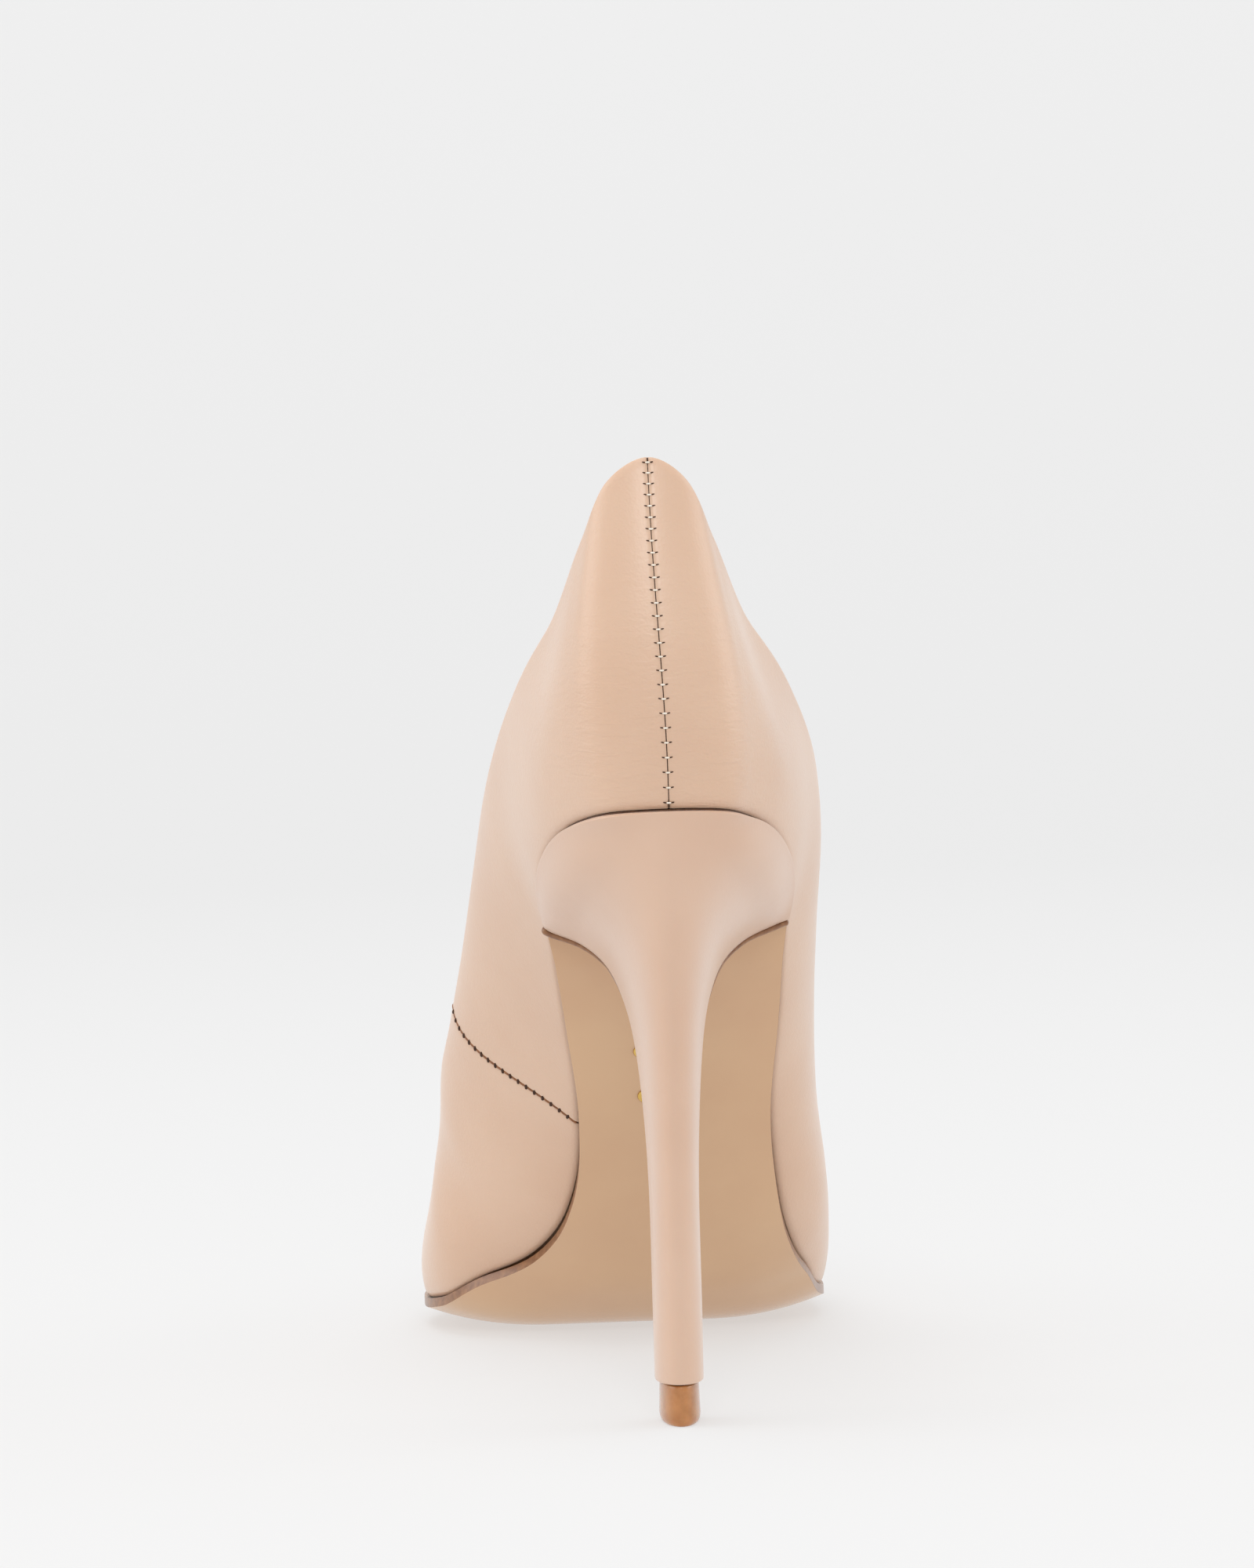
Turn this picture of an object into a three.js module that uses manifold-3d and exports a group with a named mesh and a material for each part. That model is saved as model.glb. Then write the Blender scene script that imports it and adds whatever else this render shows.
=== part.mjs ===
// High heel pump, right foot, women's EU 37. Millimetres, +Z up, +Y heel to toe, +X lateral side.
import * as THREE from 'three';
import { mergeVertices } from 'three/addons/utils/BufferGeometryUtils.js';
import Module from 'manifold-3d';

const wasm = await Module();
wasm.setup();
const { Manifold, Mesh: SolidMesh } = wasm;

// ---- Driving dimensions -------------------------------------------------------------------------
const shoeLength = 217;         // back of the counter to the toe tip
const ballWidth = 74;           // sole width across the ball of the foot
const heelHeight = 104.5;       // ground to the seat edge at the centre back
const counterHeight = 59;       // seat edge to the top of the back seam
const sideHeight = 1;           // factor on the height of the upper in front of the counter
const leatherThickness = 1.0;   // outer leather
const stiffenerThickness = 0.6; // heel counter, toe puff and topline tape
const liningThickness = 0.6;    // lining leather
const layerGap = 0.25;          // room left between neighbouring layers
const soleThickness = 1.75;     // outsole under the foot
const flapThickness = 1.2;      // tongue of the outsole that covers the heel breast
const insoleThickness = 1.3;    // insole board
const shankBoardThickness = 1.2;
const sockThickness = 0.8;      // sock lining the foot stands on
const shankThickness = 1.0;     // steel shank
const shankWidth = 9;
const stemHalfWidth = 3.3;      // half the width of the stiletto stem just above the top piece
const stemDepth = 8.6;          // back to front size of the stem at the same place
const stemBack = 12.0;          // distance of the stem's back face from the back of the shoe
const stemCentreX = -0.3;       // the stem stands a little to the medial side
const topPieceHeight = 7;
const coverThickness = 0.8;     // leather that wraps the heel
const coreWall = 0.35;          // plastic left round the tube's bore in the stem
const boreRoom = 0.1;           // room between the steel tube and its bore
const tubeRadius = stemHalfWidth - coverThickness - layerGap - coreWall - boreRoom;
const tubeWall = 0.4;           // wall of the steel tube in the stem
const studRadius = 1.6;         // plain metal studs on the shank

// The foot shape below is drawn for these sizes and scaled to the driving dimensions.
const drawnLength = 217;
const drawnWidth = 74;
const drawnHeel = 104.5;
const alongScale = shoeLength / drawnLength;
const acrossScale = ballWidth / drawnWidth;
const riseScale = heelHeight / drawnHeel;

// ---- Small curve helpers ------------------------------------------------------------------------
const lerp = (a, b, k) => a + (b - a) * k;
const clamp = (value, low, high) => Math.min(high, Math.max(low, value));

function cubicThrough(a, b, c, d, k) {
  const rise = (c - a) / 2;
  const fall = (d - b) / 2;
  const k2 = k * k;
  const k3 = k2 * k;
  return (2 * k3 - 3 * k2 + 1) * b + (k3 - 2 * k2 + k) * rise + (3 * k2 - 2 * k3) * c + (k3 - k2) * fall;
}

// Smooth value at x through a list of [x, value] pairs sorted by x (monotone between the pairs).
function profile(pairs, x) {
  if (x <= pairs[0][0]) return pairs[0][1];
  const last = pairs.length - 1;
  if (x >= pairs[last][0]) return pairs[last][1];
  let i = 0;
  while (x > pairs[i + 1][0]) i += 1;
  const slope = (j) => {
    if (j === 0 || j === last) return null;
    const before = (pairs[j][1] - pairs[j - 1][1]) / (pairs[j][0] - pairs[j - 1][0]);
    const after = (pairs[j + 1][1] - pairs[j][1]) / (pairs[j + 1][0] - pairs[j][0]);
    return before * after <= 0 ? 0 : (2 * before * after) / (before + after);
  };
  const width = pairs[i + 1][0] - pairs[i][0];
  const straight = (pairs[i + 1][1] - pairs[i][1]) / width;
  const m0 = slope(i) ?? straight;
  const m1 = slope(i + 1) ?? straight;
  const k = (x - pairs[i][0]) / width;
  const k2 = k * k;
  const k3 = k2 * k;
  return (2 * k3 - 3 * k2 + 1) * pairs[i][1] + (k3 - 2 * k2 + k) * width * m0
    + (3 * k2 - 2 * k3) * pairs[i + 1][1] + (k3 - k2) * width * m1;
}

// ---- The bottom of the foot shape ---------------------------------------------------------------
// Height of the feather edge (where upper and sole meet) along the shoe: [y, z].
const bottomLine = [
  [0, 105], [15, 101.7], [30, 95.4], [47, 83.2], [65, 64.4], [85, 39.7], [100, 21.7],
  [112, 10], [124, 3.4], [135, 2], [165, 2], [190, 3.2], [217, 7],
];
const featherHeight = (y) => {
  const lift = profile(bottomLine, y / alongScale) - 2;
  return 2 + lift * riseScale;
};
function featherNormal(y) {
  const rise = (featherHeight(y + 0.5) - featherHeight(y - 0.5));
  const length = Math.hypot(1, rise);
  return [-rise / length, 1 / length];
}
// A point standing the height h above the bottom line, square to it.
function aboveFeather(x, y, h) {
  const [ny, nz] = featherNormal(y);
  return [x, y + ny * h, featherHeight(y) + nz * h];
}

// ---- The upper ----------------------------------------------------------------------------------
// One row per rib of the upper from the centre back (rib 0) to the toe tip (rib 18):
// feather y, feather x medial, feather x lateral, top y, top x medial, top x lateral, top height
// above the feather line, then how far the rib leaves the feather (out, up), how far it arrives
// under the top (out, down), lasting margin width and how much the arrival turns to the side.
const ribs = [
  [2.5, 0, 0, 6.5, -1.7, -1.7, 59, 4, 20, 6, 24, 5.5, 0],
  [4.5, -9.5, 9.2, 7.5, -9, 5.2, 55, 3.8, 19, 4.5, 21, 4.6, 0],
  [12, -14.6, 14, 12, -13, 9.2, 47, 4, 17, 3, 17, 6.5, 0.3],
  [24, -19, 19.2, 25, -18, 15, 38, 4.5, 14, 2.2, 14, 7.5, 0.8],
  [38, -21, 22.3, 44, -24.2, 23.2, 37.8, 4.5, 13, 2, 13, 8, 1],
  [52, -18.9, 21.7, 60, -28.9, 28.6, 38.5, 6.5, 11, 1.5, 13, 8, 1],
  [66, -16.6, 21.2, 75, -31.6, 28.6, 40, 8, 10, 1.2, 13, 7.5, 1],
  [80, -14.5, 20.3, 89, -34, 28.8, 41.5, 9, 9, 1, 14, 7, 1],
  [93, -15.5, 22, 102, -36.4, 28.8, 43, 10, 10, 1.2, 15, 7, 1],
  [106, -22.6, 25.4, 115, -38.2, 28, 43.5, 11, 13, 3, 15, 8, 1],
  [119, -36, 29.3, 127, -34.6, 24.4, 44.4, 7.5, 15, 8, 13, 8, 1],
  [132, -41.8, 32, 138, -23.4, 17.6, 44.8, 5, 16, 12.5, 6, 8, 1],
  [145, -41.6, 31.6, 147, -12.2, 9.4, 44.6, 3.8, 15.5, 16, 1.6, 8, 1],
  [156, -37.4, 29.6, 152.2, -1, -1, 43.9, 2.6, 15, 17, 0, 8, 1],
  [168, -30.8, 25, 165, -1, -1, 37, 2.2, 12.5, 14, 0, 8, 1],
  [182, -21.8, 18.5, 178, -1, -1, 28, 1.8, 9.5, 10.5, 0, 6.5, 1],
  [196, -13.4, 11.6, 193, -0.9, -0.9, 19, 1.5, 7, 6.5, 0, 4.6, 1],
  [208, -6.8, 5.8, 205, -0.7, -0.7, 12, 1.2, 4.5, 3.4, 0.3, 3, 0.75],
  [216, -0.5, -0.5, 210.5, -0.6, -0.6, 8.8, 1, 3.4, 2.6, 0.5, 3, 0],
];
const throatRib = 13;
const toeRib = ribs.length - 1;
const medial = -1;
const lateral = 1;

function ribRow(index) {
  const count = 2 * toeRib;
  const wrapped = ((index % count) + count) % count;
  const side = wrapped <= toeRib ? lateral : medial;
  const row = ribs[wrapped <= toeRib ? wrapped : count - wrapped];
  const ahead = wrapped === 0 || row[0] < 20 ? counterHeight / 59 : sideHeight;
  return [
    (side === medial ? row[1] : row[2]) * acrossScale, row[0] * alongScale,
    (side === medial ? row[4] : row[5]) * acrossScale, row[3] * alongScale, row[6] * ahead,
    row[7], row[8], row[9], row[10], row[11], row[12],
  ];
}
const ribCache = new Map();
function ribAt(side, s) {
  const key = side * 1000 + s;
  if (ribCache.has(key)) return ribCache.get(key);
  const u = side === lateral ? s : 2 * toeRib - s;
  const i = Math.floor(u + 1e-9);
  const rows = [ribRow(i - 1), ribRow(i), ribRow(i + 1), ribRow(i + 2)];
  const value = rows[0].map((_, n) => cubicThrough(rows[0][n], rows[1][n], rows[2][n], rows[3][n], u - i));
  // In front of the throat both sides share one ridge line, so its x ignores the ribs behind it.
  if (s > throatRib) value[2] = lerp(rows[1][2], rows[2][2], u - i);
  ribCache.set(key, value);
  return value;
}
function planNormal(side, s) {
  const step = side === lateral ? 0.02 : -0.02;
  const a = ribAt(side, s - step);
  const b = ribAt(side, s + step);
  const length = Math.hypot(b[0] - a[0], b[1] - a[1]);
  return [(b[1] - a[1]) / length, -(b[0] - a[0]) / length];
}
// Point of the outer face of the upper: t runs 0 at the feather edge to 1 at the topline or ridge,
// and 0 down to -1 across the lasting margin folded under the insole.
function upperPoint(side, s, t) {
  const [fx, fy, tx, ty, th, out1, up1, out2, down2, margin, turn] = ribAt(side, s);
  const normal = planNormal(side, s);
  if (t < 0) {
    return aboveFeather(fx + normal[0] * margin * t, fy + normal[1] * margin * t, 0);
  }
  const topZ = featherHeight(ty) + th;
  const arriveX = lerp(normal[0], side, turn);
  const arriveY = lerp(normal[1], 0, turn);
  const start = [fx, fy, featherHeight(fy)];
  const leave = [fx + normal[0] * out1, fy + normal[1] * out1, start[2] + up1];
  const arrive = [tx + arriveX * out2, ty + arriveY * out2, topZ - down2];
  const k = 1 - t;
  return [0, 1, 2].map((n) => k * k * k * start[n] + 3 * k * k * t * leave[n]
    + 3 * k * t * t * arrive[n] + t * t * t * [tx, ty, topZ][n]);
}
function upperNormal(side, s, t) {
  const h = 0.01;
  const sAhead = upperPoint(side, s + h, t);
  const sBehind = upperPoint(side, s - h, t);
  const tAhead = upperPoint(side, s, Math.min(1, t + h));
  const tBehind = upperPoint(side, s, Math.max(-1, t - h));
  const along = new THREE.Vector3().subVectors(new THREE.Vector3(...sAhead), new THREE.Vector3(...sBehind));
  const rise = new THREE.Vector3().subVectors(new THREE.Vector3(...tAhead), new THREE.Vector3(...tBehind));
  return along.cross(rise).multiplyScalar(side).normalize();
}

// ---- Mesh building ------------------------------------------------------------------------------
const nearKey = (p) => p.map((v) => Math.round(v * 500)).join(',');

// A closed mesh whose faces look outward, whichever way its triangles were listed.
function toGeometry(vertices, triangles) {
  let volume = 0;
  for (const [a, b, c] of triangles) {
    const [p, q, r] = [vertices[a], vertices[b], vertices[c]];
    volume += p[0] * (q[1] * r[2] - q[2] * r[1]) + p[1] * (q[2] * r[0] - q[0] * r[2])
      + p[2] * (q[0] * r[1] - q[1] * r[0]);
  }
  const listed = volume < 0 ? triangles.map(([a, b, c]) => [a, c, b]) : triangles;
  const geometry = new THREE.BufferGeometry();
  geometry.setAttribute('position', new THREE.Float32BufferAttribute(vertices.flat(), 3));
  geometry.setIndex(listed.flat());
  geometry.computeVertexNormals();
  return geometry;
}

// A layer of the upper between the depths d0 and d1 under the outer face, made of patches.
// Each patch is {side, from, to, low, high}; from and to may be functions of t.
const ribStep = 0.5;
const heightSteps = 8;
function gridValues(low, high, step) {
  const values = [low];
  for (let k = Math.floor(low / step) + 1; k * step < high - step * 0.3; k += 1) {
    if (k * step > low + step * 0.3) values.push(k * step);
  }
  values.push(high);
  return values;
}
function layer(patches, d0, d1, heights) {
  const points = [];
  const normals = [];
  const lookup = new Map();
  const quads = [];
  for (const patch of patches) {
    const lowT = patch.low ?? 0;
    const highT = patch.high ?? 1;
    const below = lowT < 0 ? [-1] : [];
    const rows = heights ?? [...below, ...gridValues(Math.max(0, lowT), highT, 1 / heightSteps)];
    const columns = gridValues(patch.start, patch.end, ribStep);
    const ids = columns.map((s) => rows.map((t) => {
      const above = Math.max(0, t);
      const from = patch.from ? patch.from(above) : patch.start;
      const to = patch.to ? patch.to(above) : patch.end;
      const share = (s - patch.start) / (patch.end - patch.start);
      const moved = from === patch.start && to === patch.end ? s : lerp(from, to, share);
      const p = upperPoint(patch.side, moved, t);
      const n = upperNormal(patch.side, moved, t);
      const key = nearKey(p);
      if (!lookup.has(key)) {
        lookup.set(key, points.length);
        points.push(p);
        normals.push(new THREE.Vector3());
      }
      const id = lookup.get(key);
      normals[id].add(n);
      return id;
    }));
    for (let i = 0; i + 1 < columns.length; i += 1) {
      for (let j = 0; j + 1 < rows.length; j += 1) {
        const q = [ids[i][j], ids[i + 1][j], ids[i + 1][j + 1], ids[i][j + 1]];
        quads.push(patch.side === lateral ? q : q.reverse());
      }
    }
  }
  const faces = [];
  for (const [a, b, c, d] of quads) {
    if (a !== b && b !== c && a !== c) faces.push([a, b, c]);
    if (a !== c && c !== d && a !== d) faces.push([a, c, d]);
  }
  const count = points.length;
  const shifted = (depth) => points.map((p, i) => {
    const n = normals[i].clone().normalize();
    return [p[0] - n.x * depth, p[1] - n.y * depth, p[2] - n.z * depth];
  });
  const vertices = [...shifted(d0), ...shifted(d1)];
  const edges = new Map();
  for (const face of faces) {
    for (let k = 0; k < 3; k += 1) {
      const a = face[k];
      const b = face[(k + 1) % 3];
      if (edges.has(`${b}_${a}`)) edges.delete(`${b}_${a}`);
      else edges.set(`${a}_${b}`, [a, b]);
    }
  }
  const triangles = [...faces, ...faces.map(([a, b, c]) => [a + count, c + count, b + count])];
  for (const [a, b] of edges.values()) {
    triangles.push([b, a, a + count]);
    triangles.push([b, a + count, b + count]);
  }
  return toGeometry(vertices, triangles);
}

// A solid through a list of equal closed rings, capped at both ends with fans around the middle.
function loft(rings) {
  const size = rings[0].length;
  const vertices = rings.flat();
  const triangles = [];
  for (let i = 0; i + 1 < rings.length; i += 1) {
    for (let k = 0; k < size; k += 1) {
      const a = i * size + k;
      const b = i * size + ((k + 1) % size);
      triangles.push([a, b, b + size]);
      triangles.push([a, b + size, a + size]);
    }
  }
  for (const [base, flip] of [[0, true], [(rings.length - 1) * size, false]]) {
    if (size === 4) {
      triangles.push(flip ? [base, base + 2, base + 1] : [base, base + 1, base + 2]);
      triangles.push(flip ? [base, base + 3, base + 2] : [base, base + 2, base + 3]);
    } else {
      const middle = [0, 1, 2].map((n) => rings[base / size].reduce((sum, p) => sum + p[n], 0) / size);
      const centre = vertices.length;
      vertices.push(middle);
      for (let k = 0; k < size; k += 1) {
        const a = base + k;
        const b = base + ((k + 1) % size);
        triangles.push(flip ? [centre, b, a] : [centre, a, b]);
      }
    }
  }
  return toGeometry(vertices, triangles);
}

function weld(geometry) {
  const plain = geometry.clone();
  plain.deleteAttribute('normal');
  plain.deleteAttribute('uv');
  return mergeVertices(plain, 1e-4);
}
function solid(geometry) {
  const welded = weld(geometry);
  return new Manifold(new SolidMesh({
    numProp: 3,
    vertProperties: new Float32Array(welded.attributes.position.array),
    triVerts: new Uint32Array(welded.index.array),
  }));
}
function fromSolid(body) {
  const mesh = body.getMesh();
  const geometry = new THREE.BufferGeometry();
  geometry.setAttribute('position', new THREE.BufferAttribute(new Float32Array(mesh.vertProperties), 3));
  geometry.setIndex(new THREE.BufferAttribute(new Uint32Array(mesh.triVerts), 1));
  geometry.computeVertexNormals();
  return geometry;
}
const cut = (geometry, tools) => {
  let body = solid(geometry);
  for (const tool of tools) body = body.subtract(solid(tool));
  return fromSolid(body);
};

// ---- Outline of the sole in plan ----------------------------------------------------------------
const outlineSteps = 400;
function outlineX(side, y, inset) {
  let best = null;
  let previous = null;
  for (let i = 0; i <= outlineSteps; i += 1) {
    const s = (i / outlineSteps) * toeRib;
    const rib = ribAt(side, s);
    const n = planNormal(side, s);
    const here = [rib[0] - n[0] * inset, rib[1] - n[1] * inset];
    if (previous && (previous[1] - y) * (here[1] - y) <= 0 && here[1] !== previous[1]) {
      const x = lerp(previous[0], here[0], (y - previous[1]) / (here[1] - previous[1]));
      if (best === null || x * side < best * side) best = x;
    }
    previous = here;
  }
  return best;
}
// A slab that follows the bottom line between the heights low(y) and high(y).
const stationGrid = [9, 12, 17, 22, 28, 34, 40, 46, 52, 58, 64, 70, 76, 81, 86, 91, 96, 101, 106, 110,
  114, 118, 122, 127, 134, 142, 150, 158, 166, 174, 182, 190, 197, 203];
function slab(yFrom, yTo, inset, low, high, breaks = [], maxHalf = Infinity) {
  const inside = [...stationGrid, ...breaks].filter((y) => y > yFrom + 1 && y < yTo - 1);
  const drawn = [...new Set([yFrom, ...inside, yTo])].sort((a, b) => a - b);
  const stations = drawn.map((y) => y * alongScale);
  const rings = stations.map((y) => {
    const middle = (outlineX(medial, y, inset) + outlineX(lateral, y, inset)) / 2;
    const left = Math.max(outlineX(medial, y, inset), middle - maxHalf);
    const right = Math.min(outlineX(lateral, y, inset), middle + maxHalf);
    return [
      aboveFeather(left, y, high(y / alongScale)), aboveFeather(right, y, high(y / alongScale)),
      aboveFeather(right, y, low(y / alongScale)), aboveFeather(left, y, low(y / alongScale)),
    ];
  });
  return loft(rings);
}
const fixed = (value) => () => value;

// ---- Heights of the bottom layers above the feather line ----------------------------------------
const flangeTop = leatherThickness;
const boardGap = 0.6;            // room between the folded lasting margin and the boards on it
const boardLow = flangeTop + boardGap;
const boardHigh = boardLow + shankBoardThickness;
const backRise = shankBoardThickness + layerGap;
const shankBoardEnd = 122;
const insoleStep = [shankBoardEnd + 1.5, shankBoardEnd + 8];
const insoleLow = (y) => boardLow + profile([[0, backRise], [insoleStep[0], backRise], [insoleStep[1], 0],
  [217, 0]], y);
const insoleHigh = (y) => insoleLow(y) + insoleThickness;
const heelPadThickness = 2.0;
const ballPadThickness = 1.5;
const padLow = (y) => insoleHigh(y) + layerGap;
const heelPadSpan = [12, 46];
const ballPadSpan = [117, 166];
const sockSteps = [
  heelPadSpan[1] + 3, heelPadSpan[1] + 12, ballPadSpan[0] - 12, ballPadSpan[0] - 3, ballPadSpan[1] + 3,
  ballPadSpan[1] + 12,
];
const sockLow = (y) => insoleHigh(y) + layerGap + profile([
  [0, heelPadThickness + layerGap], [sockSteps[0], heelPadThickness + layerGap], [sockSteps[1], 0],
  [sockSteps[2], 0], [sockSteps[3], ballPadThickness + layerGap],
  [sockSteps[4], ballPadThickness + layerGap], [sockSteps[5], 0], [217, 0],
], y);
const sockHigh = (y) => sockLow(y) + sockThickness;
const liningDepth = leatherThickness + stiffenerThickness + 2 * layerGap;
const liningInside = liningDepth + liningThickness;
const boardInset = liningInside + 0.5;

// ---- Hardware through the seat ------------------------------------------------------------------
// A turned piece standing square to the bottom line at y, from height low to height high.
function turned(x, yDrawn, outline, segments = 12) {
  const y = yDrawn * alongScale;
  const [ny, nz] = featherNormal(y);
  const geometry = new THREE.LatheGeometry(outline.map(([r, h]) => new THREE.Vector2(r, h)), segments);
  geometry.rotateX(Math.PI / 2);
  const up = new THREE.Vector3(0, ny, nz);
  const turn = new THREE.Quaternion().setFromUnitVectors(new THREE.Vector3(0, 0, 1), up);
  geometry.applyQuaternion(turn);
  geometry.translate(x, y, featherHeight(y));
  return weld(geometry);
}
const pin = (x, y, radius, low, high, segments) => (
  turned(x, y, [[0, low], [radius, low], [radius, high], [0, high]], segments)
);
function headed(x, y, radius, headRadius, low, headLow, headHigh, segments) {
  return turned(x, y, [
    [0, low], [radius, low], [radius, headLow], [headRadius, headLow], [headRadius, headHigh], [0, headHigh],
  ], segments);
}
const nailRadius = 0.9;
const nailHead = 1.8;
const nailLength = 12 * riseScale;
const screwRadius = 2.2;
const screwHead = 4;
const screwLength = 24;
const holeRoom = 0.3;
const screwPlace = [0.8, 24];
const nailPlaces = [[-5.6, 17], [6.3, 17], [-7.2, 31], [8.2, 31], [0.5, 12]];
// Heads are let into the insole board, flush with its top.
const screwHeadHeight = 1.0;
const nailHeadHeight = 0.6;
const headTop = insoleHigh(20) - 0.05;
const headLow = headTop - screwHeadHeight;
const nailHeadLow = headTop - nailHeadHeight;
function sunkHole(place, radius, headRadius, seat) {
  return [
    pin(...place, radius + holeRoom / 2, -4, 12, 12),
    pin(...place, headRadius + holeRoom / 2, seat - 0.08, 12, 12),
  ];
}
const insoleHoles = () => [
  ...sunkHole(screwPlace, screwRadius, screwHead, headLow),
  ...nailPlaces.flatMap((place) => sunkHole(place, nailRadius, nailHead, nailHeadLow)),
];
const shankBoardHoles = () => [
  pin(...screwPlace, screwRadius + holeRoom / 2, -4, 12, 12),
  ...nailPlaces.map((place) => pin(...place, nailRadius + holeRoom / 2, -4, 12, 8)),
];

// ---- The heel -----------------------------------------------------------------------------------
// Rings of the heel from the stem's foot up to the seat:
// back z, front z, back y, front y, half width.
const seatFront = 47.6;
const stemFront = stemBack + stemDepth;
const heelRings = [
  [topPieceHeight + 0.3, topPieceHeight + 0.3, stemBack, stemFront, stemHalfWidth],
  [20, 20, stemBack + 0.2, stemFront + 0.9, stemHalfWidth + 0.05],
  [40, 39, stemBack, stemFront + 2.9, stemHalfWidth + 0.1],
  [56, 53, 10.8, 26.5, 4.0],
  [70, 64, 9, 31, 5.15],
  [80, 71, 7, 35.5, 6.9],
  [88, 76, 5.4, 40, 9.4],
  [95, 79.6, 4, 43.6, 13.6],
  [101, 81.8, 3, 46.4, 19],
  [104.5, 83, 2.5, seatFront, 21.4],
];
const shapeSteps = 22;
// The seat outline reduced to -1..1 across and 0..1 along, back centre to the breast corners.
function seatShape(k) {
  const side = k < 0 ? medial : lateral;
  const reach = Math.min(1, Math.abs(k));
  const along = (1 - Math.cos(reach * Math.PI * 0.5)) ** 0.9;
  const across = Math.sin(Math.min(1, reach * 1.12) * Math.PI * 0.5) ** 0.86;
  return [side * across, along];
}
function heelPoint(ring, k, inset) {
  const [zBack, zFront, yBack, yFront, half] = heelRings[ring];
  const top = ring === heelRings.length - 1;
  const [cx, cy] = seatShape(k);
  const upright = clamp(ring / (heelRings.length - 1), 0, 1);
  const centreX = lerp(stemCentreX, 0.4, upright);
  const y = lerp(yBack + inset, yFront, cy) * alongScale;
  const room = Math.max(0, half * (ring > 3 ? acrossScale : 1) - inset);
  let x = centreX + cx * room;
  if (top) {
    const edge = outlineX(k < 0 ? medial : lateral, y, inset);
    x = edge === null ? x : edge * Math.min(1, Math.abs(cx) * 1.02);
    if (Math.abs(k) < 1e-6) x = 0;
    return aboveFeather(x, y, -layerGap);
  }
  const z = lerp(zBack, zFront, cy);
  return [x, y, ring === 0 ? z : z * riseScale];
}
function heelCore() {
  const rings = heelRings.map((_, ring) => {
    const points = [];
    for (let i = -shapeSteps / 2; i <= shapeSteps / 2; i += 1) {
      points.push(heelPoint(ring, (i / (shapeSteps / 2)), coverThickness + layerGap));
    }
    return points;
  });
  return loft(rings);
}
function heelCover() {
  const steps = shapeSteps;
  const vertices = [];
  const triangles = [];
  const rows = heelRings.length;
  for (const inset of [0, coverThickness]) {
    for (let ring = 0; ring < rows; ring += 1) {
      for (let i = -steps / 2; i <= steps / 2; i += 1) vertices.push(heelPoint(ring, i / (steps / 2), inset));
    }
  }
  const id = (face, ring, i) => face * rows * (steps + 1) + ring * (steps + 1) + i;
  const quad = (a, b, c, d) => triangles.push([a, b, c], [a, c, d]);
  for (let ring = 0; ring + 1 < rows; ring += 1) {
    for (let i = 0; i < steps; i += 1) {
      quad(id(0, ring, i), id(0, ring, i + 1), id(0, ring + 1, i + 1), id(0, ring + 1, i));
      quad(id(1, ring, i), id(1, ring + 1, i), id(1, ring + 1, i + 1), id(1, ring, i + 1));
    }
    quad(id(0, ring, 0), id(0, ring + 1, 0), id(1, ring + 1, 0), id(1, ring, 0));
    quad(id(0, ring, steps), id(1, ring, steps), id(1, ring + 1, steps), id(0, ring + 1, steps));
  }
  for (let i = 0; i < steps; i += 1) {
    quad(id(0, 0, i), id(1, 0, i), id(1, 0, i + 1), id(0, 0, i + 1));
    quad(id(0, rows - 1, i), id(0, rows - 1, i + 1), id(1, rows - 1, i + 1), id(1, rows - 1, i));
  }
  return toGeometry(vertices, triangles);
}

// ---- The outsole with its breast flap -----------------------------------------------------------
// The sheet runs from the toe along the arch to the breast corner and down the front of the stem.
function outsole() {
  const rings = [];
  const toeEnd = 215.6;
  const stations = [toeEnd, 213.5, 210, 204, 196, 186, 176, 166, 156, 147, 139, 132, 126, 120, 114, 108,
    102, 96, 90, 84, 78, 72, 66, 60, 55];
  const overhang = (y) => profile([[0, -0.2], [100, -0.2], [122, 0.7], [205, 0.7], [216, 0.4]], y);
  for (const station of stations) {
    const y = station * alongScale;
    const left = outlineX(medial, y, -overhang(station)) ?? -0.5;
    const right = outlineX(lateral, y, -overhang(station)) ?? 0.5;
    const low = -layerGap - soleThickness;
    rings.push([
      aboveFeather(left, y, -layerGap), aboveFeather(right, y, -layerGap),
      aboveFeather(right, y, low), aboveFeather(left, y, low),
    ]);
  }
  // Down the breast: the inner face keeps the layer gap to the heel, the outer face a sheet away.
  const flapOverlap = 0.5;
  const front = [];
  for (let ring = heelRings.length - 1; ring >= 0; ring -= 1) {
    const left = heelPoint(ring, -1, 0);
    const right = heelPoint(ring, 1, 0);
    front.push({ left: left[0], right: right[0], y: right[1], z: right[2] });
  }
  front.forEach((place, i) => {
    const before = front[Math.max(0, i - 1)];
    const after = front[Math.min(front.length - 1, i + 1)];
    const run = [after.y - before.y, after.z - before.z];
    const length = Math.hypot(run[0], run[1]);
    const ahead = [-run[1] / length, run[0] / length];
    const sheet = i === 0 ? soleThickness * 1.15 : lerp(soleThickness, flapThickness, Math.min(1, i / 3));
    const lift = i === 0 ? 0 : layerGap + 0.05;
    const inner = [place.y + ahead[0] * lift, place.z + ahead[1] * lift];
    const outer = [inner[0] + ahead[0] * sheet, inner[1] + ahead[1] * sheet];
    const right = place.right + flapOverlap;
    rings.push([
      [place.left, inner[0], inner[1]], [right, inner[0], inner[1]],
      [right, outer[0], outer[1]], [place.left, outer[0], outer[1]],
    ]);
  });
  return loft(rings);
}

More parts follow.
